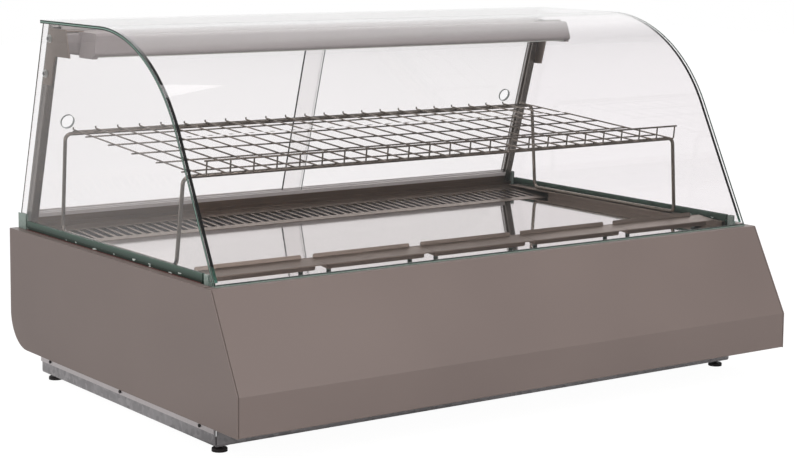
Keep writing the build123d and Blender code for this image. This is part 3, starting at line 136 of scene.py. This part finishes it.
# White paper sweep: a share of it glows, so that it stays white, and the rest takes the
# shadow of the case.
glow_share = 0.86
glow_seen = 1.12
floor_reach = 9.0
floor_paper = bpy.data.materials.new("white_paper_sweep")
floor_paper.use_nodes = True
tree = floor_paper.node_tree
direct, in_metal = ways_seen(tree)
seen_all = add_node(tree, "ShaderNodeMath", {0: direct, 1: in_metal}, operation="MAXIMUM")
share = add_node(tree, "ShaderNodeMath", {0: seen_all.outputs[0], 1: glow_share}, operation="MULTIPLY")
paper = tree.nodes["Principled BSDF"]
paper.inputs["Base Color"].default_value = linear("#f4f3f2")
paper.inputs["Roughness"].default_value = 0.9
paper.inputs["Specular IOR Level"].default_value = 0.0
spot_on_floor = add_node(tree, "ShaderNodeTexCoord")
from_case = add_node(tree, "ShaderNodeVectorMath", {0: spot_on_floor.outputs["Object"]},
                     operation="NORMALIZE")
floor_in_metal = room_seen_in_metal(tree, from_case.outputs[0])
floor_glow = add_node(tree, "ShaderNodeMix", {0: direct, 2: floor_in_metal.outputs[0], 3: glow_seen})
white = add_node(tree, "ShaderNodeEmission", {"Color": studio_white, "Strength": floor_glow.outputs[0]})
paper_mix = add_node(tree, "ShaderNodeMixShader",
                     {0: share.outputs[0], 1: paper.outputs[0], 2: white.outputs[0]})
tree.links.new(paper_mix.outputs[0], tree.nodes["Material Output"].inputs["Surface"])
sweep = bmesh.new()
bmesh.ops.create_grid(sweep, x_segments=1, y_segments=1, size=floor_reach)
sweep_mesh = bpy.data.meshes.new("studio_floor")
sweep.to_mesh(sweep_mesh)
sweep_mesh.materials.append(floor_paper)
studio_floor = bpy.data.objects.new("studio_floor", sweep_mesh)
scene.collection.objects.link(studio_floor)

# Soft boxes: each is placed in metres, with its width, height and power in watts. Only
# the front one shows in glass and metal.
case_middle = Vector((0.0, 0.0, 0.3))
for name, spot, wide, tall, power in (("soft_box_above", (-0.4, -0.6, 3.2), 2.6, 2.2, 44.0),
                                      ("soft_box_left", (-3.4, -1.6, 1.6), 2.0, 1.8, 17.0),
                                      ("soft_box_front", (1.0, -4.0, 1.7), 2.4, 1.8, 23.0)):
    lamp = bpy.data.lights.new(name, "AREA")
    lamp.shape = "RECTANGLE"
    lamp.size = wide
    lamp.size_y = tall
    lamp.energy = power
    holder = bpy.data.objects.new(name, lamp)
    holder.location = spot
    holder.rotation_euler = (case_middle - Vector(spot)).to_track_quat("-Z", "Y").to_euler()
    holder.visible_glossy = name == "soft_box_front"
    scene.collection.objects.link(holder)


# Chassis: galvanised steel rails folded to a C, and the pan whose skirts lap over them.
# Zinc gives cloudy crystal patches of slightly different greys.
def new_material(name, colour, roughness, metallic=0.0):
    made = bpy.data.materials.new(name)
    made.use_nodes = True
    surface = made.node_tree.nodes["Principled BSDF"]
    surface.inputs["Base Color"].default_value = linear(colour)
    surface.inputs["Roughness"].default_value = roughness
    surface.inputs["Metallic"].default_value = metallic
    return made, made.node_tree, surface


def dress(material, *names):
    for name in names:
        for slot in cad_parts[name].material_slots:
            slot.material = material


# Hot dip galvanised sheet: spangles about 9 mm across, some duller than others
galvanised, tree, surface = new_material("hot_dip_galvanised_steel", "#a9a6a7", 0.42, 0.75)
spangle_mm = 9.0
where = add_node(tree, "ShaderNodeTexCoord")
spangle = add_node(tree, "ShaderNodeTexVoronoi",
                   {"Vector": where.outputs["Object"], "Scale": 1000.0 / spangle_mm})
grey = add_node(tree, "ShaderNodeSeparateColor", {"Color": spangle.outputs["Color"]})
zinc = add_node(tree, "ShaderNodeMix", {0: grey.outputs[0], 6: linear("#9f9c9e"), 7: linear("#b9b5b7")},
                data_type="RGBA")
dull = add_node(tree, "ShaderNodeMapRange", {"Value": grey.outputs[1], "To Min": 0.34, "To Max": 0.52})
tree.links.new(zinc.outputs[2], surface.inputs["Base Color"])
tree.links.new(dull.outputs["Result"], surface.inputs["Roughness"])
dress(galvanised, "chassis_frame", "tank_supports")

# Zinc coated pan sheet: brighter than the rails, with a faint warm cast and mottling
# about 5.6 mm across
pan_sheet, tree, surface = new_material("zinc_coated_pan_sheet", "#d6cfd0", 0.38, 0.6)
mottles_per_metre = 180.0
where = add_node(tree, "ShaderNodeTexCoord")
mottle = add_node(tree, "ShaderNodeTexNoise", {"Vector": where.outputs["Object"],
                                               "Scale": mottles_per_metre, "Detail": 3.0})
warm = add_node(tree, "ShaderNodeMix", {0: mottle.outputs[0], 6: linear("#cfc7c9"), 7: linear("#dfd9d9")},
                data_type="RGBA")
tree.links.new(warm.outputs[2], surface.inputs["Base Color"])
dress(pan_sheet, "base_pan")


# Levelling feet: black moulded pads on threaded stems. Moulded nylon is dull and faintly
# grained, as are the fans, the switches and the controller's case.
nylon, tree, surface = new_material("moulded_black_nylon", "#2c2829", 0.55)
grain_mm = 0.8
where = add_node(tree, "ShaderNodeTexCoord")
grain = add_node(tree, "ShaderNodeTexNoise", {"Vector": where.outputs["Object"], "Scale": 1000.0 / grain_mm,
                                              "Detail": 3.0})
pit = add_node(tree, "ShaderNodeBump", {"Height": grain.outputs[0], "Strength": 0.25, "Distance": 0.0002})
shade = add_node(tree, "ShaderNodeMix", {0: grain.outputs[0], 6: linear("#1d1a1b"), 7: linear("#3a3536")},
                 data_type="RGBA")
tree.links.new(shade.outputs[2], surface.inputs["Base Color"])
tree.links.new(pit.outputs[0], surface.inputs["Normal"])
dress(nylon, "foot_front_left", "foot_front_right", "foot_rear_left", "foot_rear_right",
      "controller_case", "switch_frames", "power_switch", "light_switch", "condenser_fan", "evaporator_fan")

# Blackened screws: oxide leaves a dark sheen with lighter rubbed spots, 1.1 mm apart
oxide, tree, surface = new_material("blackened_steel", "#242122", 0.38, 0.6)
rubs_per_metre = 900.0
where = add_node(tree, "ShaderNodeTexCoord")
rub = add_node(tree, "ShaderNodeTexNoise", {"Vector": where.outputs["Object"], "Scale": rubs_per_metre})
worn = add_node(tree, "ShaderNodeMix", {0: rub.outputs[0], 6: linear("#161415"), 7: linear("#3c3838")},
                data_type="RGBA")
tree.links.new(worn.outputs[2], surface.inputs["Base Color"])
dress(oxide, "body_screws")


# Body panels: mild steel sheet, folded and powder coated in a warm taupe. The coat has a
# faint orange peel, a satin gloss, and drifts a little in shade over a large panel.
taupe, tree, surface = new_material("satin_powder_coat", "#7a6d68", 0.36)
peel_mm = 3.0
drift_mm = 260.0
where = add_node(tree, "ShaderNodeTexCoord")
peel = add_node(tree, "ShaderNodeTexNoise", {"Vector": where.outputs["Object"], "Scale": 1000.0 / peel_mm,
                                             "Detail": 2.0})
ripple = add_node(tree, "ShaderNodeBump", {"Height": peel.outputs[0], "Strength": 0.12, "Distance": 0.0002})
drift = add_node(tree, "ShaderNodeTexNoise", {"Vector": where.outputs["Object"], "Scale": 1000.0 / drift_mm,
                                              "Detail": 1.0})
coat = add_node(tree, "ShaderNodeMix", {0: drift.outputs[0], 6: linear("#746763"), 7: linear("#80726d")},
                data_type="RGBA")
sheen = add_node(tree, "ShaderNodeMapRange", {"Value": peel.outputs[0], "To Min": 0.32, "To Max": 0.42})
tree.links.new(coat.outputs[2], surface.inputs["Base Color"])
tree.links.new(sheen.outputs["Result"], surface.inputs["Roughness"])
tree.links.new(ripple.outputs[0], surface.inputs["Normal"])
dress(taupe, "end_panel_left", "end_panel_right", "front_panel", "rear_panel")


# Cold tank and cooling unit, under the deck: rigid foam, plain liner sheet, copper pipe,
# fin stock and a black enamelled compressor.

# Foam: pale straw, with closed cells that show as a fine net. Real cells are 0.4 mm
# across, and are drawn at 2.2 mm so that they show.
foam, tree, surface = new_material("rigid_polyurethane_foam", "#d8cfae", 0.9)
cells_per_metre = 450.0
where = add_node(tree, "ShaderNodeTexCoord")
cell = add_node(tree, "ShaderNodeTexVoronoi", {"Vector": where.outputs["Object"], "Scale": cells_per_metre})
cells = add_node(tree, "ShaderNodeMix",
                 {0: cell.outputs["Distance"], 6: linear("#cfc49f"), 7: linear("#e3dbbd")},
                 data_type="RGBA")
tree.links.new(cells.outputs[2], surface.inputs["Base Color"])
dress(foam, "tank_insulation")

# Copper pipe: drawn bright, then tarnished by handling in patches about 17 mm across
copper, tree, surface = new_material("drawn_copper_pipe", "#b87350", 0.28, 1.0)
patches_per_metre = 60.0
where = add_node(tree, "ShaderNodeTexCoord")
tarnish = add_node(tree, "ShaderNodeTexNoise", {"Vector": where.outputs["Object"],
                                                "Scale": patches_per_metre, "Detail": 4.0})
brown = add_node(tree, "ShaderNodeMix", {0: tarnish.outputs[0], 6: linear("#9c5c40"), 7: linear("#c98261")},
                 data_type="RGBA")
tree.links.new(brown.outputs[2], surface.inputs["Base Color"])
dress(copper, "refrigerant_pipes")

# Compressor shell: glossy black stove enamel under a thin, uneven film of dust
enamel, tree, surface = new_material("black_stove_enamel", "#1c1c1e", 0.3)
drifts_per_metre = 30.0
where = add_node(tree, "ShaderNodeTexCoord")
dust = add_node(tree, "ShaderNodeTexNoise", {"Vector": where.outputs["Object"],
                                             "Scale": drifts_per_metre, "Detail": 5.0})
film = add_node(tree, "ShaderNodeMix", {0: dust.outputs[0], 6: linear("#151517"), 7: linear("#2a2a2c")},
                data_type="RGBA")
tree.links.new(film.outputs[2], surface.inputs["Base Color"])
dress(enamel, "compressor")

# Fin stock: close-set aluminium leaves, drawn as bands of painted highlight and painted shade
fins, tree, surface = new_material("aluminium_fin_stock", "#b9bbbd", 0.35, 1.0)
bands_per_metre = 160.0
where = add_node(tree, "ShaderNodeTexCoord")
wave = add_node(tree, "ShaderNodeTexWave", {"Vector": where.outputs["Object"], "Scale": bands_per_metre},
                bands_direction="X")
fin_highlight_and_shade = add_node(tree, "ShaderNodeMix", {0: wave.outputs[1], 6: linear("#8d9092"), 7: linear("#cfd1d3")},
                data_type="RGBA")
tree.links.new(fin_highlight_and_shade.outputs[2], surface.inputs["Base Color"])
dress(fins, "condenser_coil", "evaporator_coil")
dress(galvanised, "condenser_shroud", "evaporator_fan_mount")

# Key caps: mid grey moulded plastic with a fine eroded grain, 0.8 mm across
keys, tree, surface = new_material("grey_key_caps", "#8b8b8d", 0.45)
eroded_grains_per_metre = 1200.0
where = add_node(tree, "ShaderNodeTexCoord")
rough = add_node(tree, "ShaderNodeTexNoise",
                 {"Vector": where.outputs["Object"], "Scale": eroded_grains_per_metre})
cap = add_node(tree, "ShaderNodeMix", {0: rough.outputs[0], 6: linear("#828284"), 7: linear("#949496")},
               data_type="RGBA")
tree.links.new(cap.outputs[2], surface.inputs["Base Color"])
dress(keys, "controller_key_1", "controller_key_2", "controller_key_3")


# Mirror deck: stainless sheet polished to a mirror, cold and faintly wavy from rolling.
# It shows the shelf, the canopy and the white room upside down.
mirror_finish, tree, surface = new_material("mirror_polished_stainless", "#d4cfcd", 0.05, 1.0)
waves_per_metre = 6.0
where = add_node(tree, "ShaderNodeTexCoord")
haze = add_node(tree, "ShaderNodeTexNoise", {"Vector": where.outputs["Object"],
                                             "Scale": waves_per_metre, "Detail": 3.0})
polish = add_node(tree, "ShaderNodeMapRange", {"Value": haze.outputs[0], "To Min": 0.03, "To Max": 0.08})
tree.links.new(polish.outputs["Result"], surface.inputs["Roughness"])
dress(mirror_finish, "display_deck")
dress(galvanised, "tank_liner", "drain_tray")

# Brushed stainless sheet of the air plates, grille, ledges and brackets: straight brush
# lines along the case, 0.6 mm apart, drawn 2 mm apart so that they show.
brushed, tree, surface = new_material("brushed_stainless_sheet", "#8b817a", 0.34, 1.0)
line_mm = 2.0
stretch_along_case = 0.02
where = add_node(tree, "ShaderNodeTexCoord")
stretch = add_node(tree, "ShaderNodeMapping", {"Vector": where.outputs["Object"],
                                               "Scale": (stretch_along_case, 1.0, 1.0)})
lines = add_node(tree, "ShaderNodeTexNoise", {"Vector": stretch.outputs[0], "Scale": 1000.0 / line_mm,
                                              "Detail": 3.0})
streak = add_node(tree, "ShaderNodeMix", {0: lines.outputs[0], 6: linear("#83756a"), 7: linear("#ab9d92")},
                  data_type="RGBA")
scuff = add_node(tree, "ShaderNodeMapRange", {"Value": lines.outputs[0], "To Min": 0.26, "To Max": 0.44})
groove = add_node(tree, "ShaderNodeBump", {"Height": lines.outputs[0], "Strength": 0.2, "Distance": 0.0001})
tree.links.new(streak.outputs[2], surface.inputs["Base Color"])
tree.links.new(scuff.outputs["Result"], surface.inputs["Roughness"])
tree.links.new(groove.outputs[0], surface.inputs["Normal"])
dress(brushed, "rear_grille", "front_plate_1", "front_plate_2", "front_plate_3", "front_plate_4",
      "front_plate_5", "side_ledge_left", "side_ledge_right", "canopy_brackets", "rear_sill")


# Posts and door tracks: extruded aluminium bars with a satin anodised skin, screwed to
# the sill. The skin is pale and slightly uneven in 4 mm patches.
anodised, tree, surface = new_material("satin_anodised_aluminium", "#dedad8", 0.34, 0.35)
skin_patches_per_metre = 240.0
where = add_node(tree, "ShaderNodeTexCoord")
die = add_node(tree, "ShaderNodeTexNoise", {"Vector": where.outputs["Object"],
                                            "Scale": skin_patches_per_metre, "Detail": 2.0})
skin = add_node(tree, "ShaderNodeMix", {0: die.outputs[0], 6: linear("#d6d2d0"), 7: linear("#e6e3e1")},
                data_type="RGBA")
tree.links.new(skin.outputs[2], surface.inputs["Base Color"])
dress(anodised, "door_track_bottom", "door_track_top")

# The posts have a darker champagne anodising than the tracks, in faint 5 mm clouds
champagne, tree, surface = new_material("champagne_anodised_aluminium", "#a09a94", 0.26, 1.0)
clouds_per_metre = 200.0
where = add_node(tree, "ShaderNodeTexCoord")
grain = add_node(tree, "ShaderNodeTexNoise", {"Vector": where.outputs["Object"],
                                              "Scale": clouds_per_metre, "Detail": 2.0})
tinge = add_node(tree, "ShaderNodeMix", {0: grain.outputs[0], 6: linear("#97908a"), 7: linear("#a9a39d")},
                 data_type="RGBA")
tree.links.new(tinge.outputs[2], surface.inputs["Base Color"])
dress(champagne, "rear_post_left", "rear_post_right")


# Glass: clear toughened float. Its polished ends show the green of the whole sheet, dark
# next to each face, with a painted highlight as a pale line in the middle of the thickness.
glass_ior = 1.5


def float_glass(name, tint, edge_test):
    made, tree, surface = new_material(name, tint, 0.0)
    surface.inputs["IOR"].default_value = glass_ior
    where = add_node(tree, "ShaderNodeTexCoord")
    edge, rim = edge_test(tree, where.outputs["Object"])
    body = add_node(tree, "ShaderNodeMix", {0: edge, 6: linear(tint), 7: rim}, data_type="RGBA")
    clear = add_node(tree, "ShaderNodeMath", {0: 1.0, 1: edge}, operation="SUBTRACT")
    tree.links.new(body.outputs[2], surface.inputs["Base Color"])
    tree.links.new(clear.outputs[0], surface.inputs["Transmission Weight"])
    ray = add_node(tree, "ShaderNodeLightPath")
    through = add_node(tree, "ShaderNodeBsdfTransparent", {"Color": linear(tint)})
    mix = add_node(tree, "ShaderNodeMixShader", {0: ray.outputs["Is Shadow Ray"], 1: surface.outputs[0],
                                                 2: through.outputs[0]})
    tree.links.new(mix.outputs[0], tree.nodes["Material Output"].inputs["Surface"])
    return made


# The front pane bends round a crown, and its ends show the thickness as a dark green line,
# a pale line that is a painted highlight, and again a dark green line
crown_y, crown_z, crown_r, crown_turn = 0.070, 0.364, 0.300, radians(63.0)
pane = 0.006
skin = 0.00015
edge_dark = "#14241d"
front_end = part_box("front_glass")[1][0] - skin


def curved_edge(tree, point):
    part = add_node(tree, "ShaderNodeSeparateXYZ", {"Vector": point})
    back = add_node(tree, "ShaderNodeMath", {0: crown_y, 1: part.outputs["Y"]}, operation="SUBTRACT")
    rise = add_node(tree, "ShaderNodeMath", {0: part.outputs["Z"], 1: crown_z}, operation="SUBTRACT")
    angle = add_node(tree, "ShaderNodeMath", {0: back.outputs[0], 1: rise.outputs[0]}, operation="ARCTAN2")
    held = add_node(tree, "ShaderNodeClamp", {"Value": angle.outputs[0], "Min": 0.0, "Max": crown_turn})
    across = add_node(tree, "ShaderNodeMath", {0: held.outputs[0]}, operation="SINE")
    upward = add_node(tree, "ShaderNodeMath", {0: held.outputs[0]}, operation="COSINE")
    first = add_node(tree, "ShaderNodeMath", {0: back.outputs[0], 1: across.outputs[0]}, operation="MULTIPLY")
    reach = add_node(tree, "ShaderNodeMath", {0: rise.outputs[0], 1: upward.outputs[0], 2: first.outputs[0]},
                     operation="MULTIPLY_ADD")
    depth = add_node(tree, "ShaderNodeMapRange", {"Value": reach.outputs[0], "From Min": crown_r,
                                                  "From Max": crown_r - pane})
    ramp = add_node(tree, "ShaderNodeValToRGB", {"Fac": depth.outputs["Result"]})
    stops = ramp.color_ramp
    stops.elements[0].position = 0.0
    stops.elements[0].color = linear(edge_dark)
    stops.elements[1].position = 1.0
    stops.elements[1].color = linear(edge_dark)
    # The two pale stops in the middle of the thickness are the painted highlight
    for spot, colour in ((0.34, "#1c3229"), (0.46, "#7d998d"), (0.6, "#93ada2"), (0.72, "#233b31")):
        stops.elements.new(spot).color = linear(colour)
    side = add_node(tree, "ShaderNodeMath", {0: part.outputs["X"]}, operation="ABSOLUTE")
    end = add_node(tree, "ShaderNodeMath", {0: side.outputs[0], 1: front_end}, operation="GREATER_THAN")
    return end.outputs[0], ramp.outputs[0]


# Each side pane shows a green line at its foot only
foot_line = 0.0002
pane_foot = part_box("side_glass_left")[0][2] + foot_line


def straight_edge(tree, point):
    part = add_node(tree, "ShaderNodeSeparateXYZ", {"Vector": point})
    low = add_node(tree, "ShaderNodeMath", {0: part.outputs["Z"], 1: pane_foot}, operation="LESS_THAN")
    return low.outputs[0], linear("#4d8571")


# A door shows grey at its leading edge and round its ground finger hole. Both doors lean
# forwards from the sill, with the hole part of the way up.
lean = radians(16.0)
sill_y, sill_z = 0.397, 0.280
hole_along = 0.2073
hole_rise = sill_z * cos(lean) - sill_y * sin(lean) + hole_along
hole_across = 0.515
ground_radius = 0.0135
leading_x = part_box("door_left")[1][0] - 0.0001
leading_skin = 0.0002


def door_edge(tree, point):
    part = add_node(tree, "ShaderNodeSeparateXYZ", {"Vector": point})
    leading = add_node(tree, "ShaderNodeMath", {0: part.outputs["X"], 1: leading_x, 2: leading_skin},
                       operation="COMPARE")
    along = add_node(tree, "ShaderNodeVectorMath", {0: point, 1: (0.0, -sin(lean), cos(lean))},
                     operation="DOT_PRODUCT")
    rise = add_node(tree, "ShaderNodeMath", {0: along.outputs["Value"], 1: hole_rise}, operation="SUBTRACT")
    side = add_node(tree, "ShaderNodeMath", {0: part.outputs["X"]}, operation="ABSOLUTE")
    off = add_node(tree, "ShaderNodeMath", {0: side.outputs[0], 1: hole_across}, operation="SUBTRACT")
    offset = add_node(tree, "ShaderNodeCombineXYZ", {"X": off.outputs[0], "Y": rise.outputs[0]})
    reach = add_node(tree, "ShaderNodeVectorMath", {0: offset.outputs[0]}, operation="LENGTH")
    ring = add_node(tree, "ShaderNodeMath", {0: reach.outputs["Value"], 1: ground_radius},
                    operation="LESS_THAN")
    both = add_node(tree, "ShaderNodeMath", {0: leading.outputs[0], 1: ring.outputs[0]}, operation="MAXIMUM")
    return both.outputs[0], linear("#8d9491")


front_sheet = float_glass("curved_toughened_glass", "#fdfbfc", curved_edge)
side_sheet = float_glass("side_toughened_glass", "#fefcfd", straight_edge)
door_sheet = float_glass("sliding_door_glass", "#fefdfd", door_edge)
dress(front_sheet, "front_glass")
dress(side_sheet, "side_glass_left", "side_glass_right")
dress(door_sheet, "door_left", "door_right")

# Glass bed at the foot of each side pane: green moulded strip, darker towards its foot and
# paler towards its top, with white dashes about 16 mm apart along its lower part.
green_bed, tree, surface = new_material("clear_green_glass_bed", "#2f4a40", 0.22)
dash_mm = 16.0
dash_starts, dash_full = 0.67, 0.71
dark_below, pale_above = 0.275, 0.29
dashes_below = 0.2805
where = add_node(tree, "ShaderNodeTexCoord")
drawn = add_node(tree, "ShaderNodeMapping", {"Vector": where.outputs["Object"], "Scale": (1.0, 0.3, 1.0)})
dash_noise = add_node(tree, "ShaderNodeTexNoise", {"Vector": drawn.outputs[0], "Scale": 3000.0 / dash_mm,
                                               "Detail": 1.0})
dashes = add_node(tree, "ShaderNodeMapRange", {"Value": dash_noise.outputs[0], "From Min": dash_starts,
                                               "From Max": dash_full})
split = add_node(tree, "ShaderNodeSeparateXYZ", {"Vector": where.outputs["Object"]})
rise = add_node(tree, "ShaderNodeMapRange", {"Value": split.outputs["Z"], "From Min": dark_below,
                                             "From Max": pale_above})
depth = add_node(tree, "ShaderNodeMix",
                 {0: rise.outputs["Result"], 6: linear("#17261f"), 7: linear("#475e53")},
                 data_type="RGBA")
low = add_node(tree, "ShaderNodeMath", {0: split.outputs["Z"], 1: dashes_below}, operation="LESS_THAN")
low_dashes = add_node(tree, "ShaderNodeMath", {0: low.outputs[0], 1: dashes.outputs["Result"]},
                      operation="MULTIPLY")
marks = add_node(tree, "ShaderNodeMix", {0: low_dashes.outputs[0], 6: depth.outputs[2], 7: linear("#dfe8e2")},
                 data_type="RGBA")
tree.links.new(marks.outputs[2], surface.inputs["Base Color"])
dress(green_bed, "glass_channel_left", "glass_channel_right")

# A thin red-brown bead between panel rim and glass bed is painted shade: it draws the dark
# line where the rim lies in shadow. Its width varies a little, and its tone in 4 mm lumps.
rim_shade_bead_paint, tree, surface = new_material("red_brown_rim_shade_bead", "#5b2f2c", 0.6)
lumps_per_metre = 250.0
bead_start = 0.002
bead_raised = 0.0004
where = add_node(tree, "ShaderNodeTexCoord")
lump = add_node(tree, "ShaderNodeTexNoise", {"Vector": where.outputs["Object"], "Scale": lumps_per_metre})
smear = add_node(tree, "ShaderNodeMix", {0: lump.outputs[0], 6: linear("#4c2624"), 7: linear("#6b3a35")},
                 data_type="RGBA")
tree.links.new(smear.outputs[2], surface.inputs["Base Color"])
bead_radius = 0.0009
bead_steps = 64
step_long = 0.0099
ripple_depth = 0.08
ripple_turn = 1.7
bed_low, bed_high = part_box("glass_channel_right")
rim_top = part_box("end_panel_right")[1][2]
turn_up = Matrix.Rotation(pi / 2, 4, "X")
# Each bead is a dark line of painted shade along the top of the rim
for side, bead_name in ((-1, "rim_shade_bead_left"), (1, "rim_shade_bead_right")):
    bead = bmesh.new()
    start = Matrix.Translation((side * (bed_high[0] + bead_radius), bed_low[1] + bead_start,
                                rim_top + bead_raised))
    bmesh.ops.create_circle(bead, segments=12, radius=bead_radius, matrix=start @ turn_up)
    tip = bead.edges[:]
    last_width = 1.0
    for step in range(bead_steps):
        made = bmesh.ops.extrude_edge_only(bead, edges=tip)
        tip = [e for e in made["geom"] if isinstance(e, bmesh.types.BMEdge)]
        tip_verts = [v for v in made["geom"] if isinstance(v, bmesh.types.BMVert)]
        bmesh.ops.translate(bead, verts=tip_verts, vec=(0.0, step_long, 0.0))
        width = 1.0 - ripple_depth * (1.0 - cos(ripple_turn * step))
        middle = sum((v.co for v in tip_verts), Vector()) / len(tip_verts)
        bmesh.ops.scale(bead, verts=tip_verts, vec=(width / last_width,) * 3,
                        space=Matrix.Translation(-middle))
        last_width = width
    bmesh.ops.holes_fill(bead, edges=bead.edges[:], sides=0)
    bmesh.ops.recalc_face_normals(bead, faces=bead.faces[:])
    bead_mesh = bpy.data.meshes.new(bead_name)
    bead.to_mesh(bead_mesh)
    bead_mesh.materials.append(rim_shade_bead_paint)
    bead_piece = bpy.data.objects.new(bead_name, bead_mesh)
    scene.collection.objects.link(bead_piece)
    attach(bead_piece, "case")

# Clips and lower seal: clear moulded plastic, cloudy where it is thick, in 3 mm clouds
clip_plastic, tree, surface = new_material("clear_moulded_plastic", "#a9bdb3", 0.25)
milk_clouds_per_metre = 300.0
where = add_node(tree, "ShaderNodeTexCoord")
cloud = add_node(tree, "ShaderNodeTexNoise",
                 {"Vector": where.outputs["Object"], "Scale": milk_clouds_per_metre})
milk = add_node(tree, "ShaderNodeMix", {0: cloud.outputs[0], 6: linear("#6d8077"), 7: linear("#a9b5ae")},
                data_type="RGBA")
tree.links.new(milk.outputs[2], surface.inputs["Base Color"])
dress(clip_plastic, "glass_clips", "front_glass_seal")


# Lamp canopy: light grey coated aluminium hood with rounded front edges and a frosted
# lens below, held by stainless brackets and plated bolts.
hood_coat, tree, surface = new_material("light_grey_coated_aluminium", "#a59d9b", 0.42)
flecks_per_metre = 350.0
where = add_node(tree, "ShaderNodeTexCoord")
fleck = add_node(tree, "ShaderNodeTexNoise", {"Vector": where.outputs["Object"],
                                              "Scale": flecks_per_metre, "Detail": 2.0})
shade = add_node(tree, "ShaderNodeMix", {0: fleck.outputs[0], 6: linear("#8f8785"), 7: linear("#9b9391")},
                 data_type="RGBA")
tree.links.new(shade.outputs[2], surface.inputs["Base Color"])
dress(hood_coat, "lamp_canopy", "canopy_ends")

# Lamp lens: extruded plastic frosted by a fine grain, so that it looks evenly pale
lens_frost, tree, surface = new_material("frosted_lamp_lens", "#e4e8df", 0.6)
frost_per_metre = 500.0
where = add_node(tree, "ShaderNodeTexCoord")
frost = add_node(tree, "ShaderNodeTexNoise", {"Vector": where.outputs["Object"], "Scale": frost_per_metre})
pale = add_node(tree, "ShaderNodeMix", {0: frost.outputs[0], 6: linear("#dfe4da"), 7: linear("#eef1ea")},
                data_type="RGBA")
tree.links.new(pale.outputs[2], surface.inputs["Base Color"])
dress(lens_frost, "lamp_diffuser")

# Zinc plated bracket bolts: bright washer and nut round a dark thread end
plating, tree, surface = new_material("bright_zinc_plating", "#b8b5b3", 0.3, 1.0)
bolt_split_z = 0.6
low_bolt_y, low_bolt_z = 0.2986, 0.567
high_bolt_y, high_bolt_z = 0.2802, 0.631
thread_end, nut_start = 0.0034, 0.0042
where = add_node(tree, "ShaderNodeTexCoord")
split = add_node(tree, "ShaderNodeSeparateXYZ", {"Vector": where.outputs["Object"]})
is_high = add_node(tree, "ShaderNodeMath", {0: split.outputs["Z"], 1: bolt_split_z}, operation="GREATER_THAN")
mid_y = add_node(tree, "ShaderNodeMix", {0: is_high.outputs[0], 2: low_bolt_y, 3: high_bolt_y})
mid_z = add_node(tree, "ShaderNodeMix", {0: is_high.outputs[0], 2: low_bolt_z, 3: high_bolt_z})
off_y = add_node(tree, "ShaderNodeMath", {0: split.outputs["Y"], 1: mid_y.outputs[0]}, operation="SUBTRACT")
off_z = add_node(tree, "ShaderNodeMath", {0: split.outputs["Z"], 1: mid_z.outputs[0]}, operation="SUBTRACT")
offset = add_node(tree, "ShaderNodeCombineXYZ", {"Y": off_y.outputs[0], "Z": off_z.outputs[0]})
radius = add_node(tree, "ShaderNodeVectorMath", {0: offset.outputs[0]}, operation="LENGTH")
bright = add_node(tree, "ShaderNodeMapRange", {"Value": radius.outputs["Value"], "From Min": thread_end,
                                               "From Max": nut_start})
ring = add_node(tree, "ShaderNodeMix",
                {0: bright.outputs["Result"], 6: linear("#1c1a1a"), 7: linear("#d9dcd9")},
                data_type="RGBA")
tree.links.new(ring.outputs[2], surface.inputs["Base Color"])
dress(plating, "bracket_bolts")


# Wire shelf and its stand: drawn steel wire and bent rod, welded and then polished. It
# has sharp highlights, and a faint change of tone every 8 mm.
wire_steel, tree, surface = new_material("polished_steel_wire", "#9a9188", 0.14, 1.0)
tones_per_metre = 120.0
where = add_node(tree, "ShaderNodeTexCoord")
draw = add_node(tree, "ShaderNodeTexNoise", {"Vector": where.outputs["Object"],
                                             "Scale": tones_per_metre, "Detail": 3.0})
tone = add_node(tree, "ShaderNodeMix", {0: draw.outputs[0], 6: linear("#8a8178"), 7: linear("#ada49a")},
                data_type="RGBA")
tree.links.new(tone.outputs[2], surface.inputs["Base Color"])
dress(wire_steel, "shelf_stand", "shelf_grid")
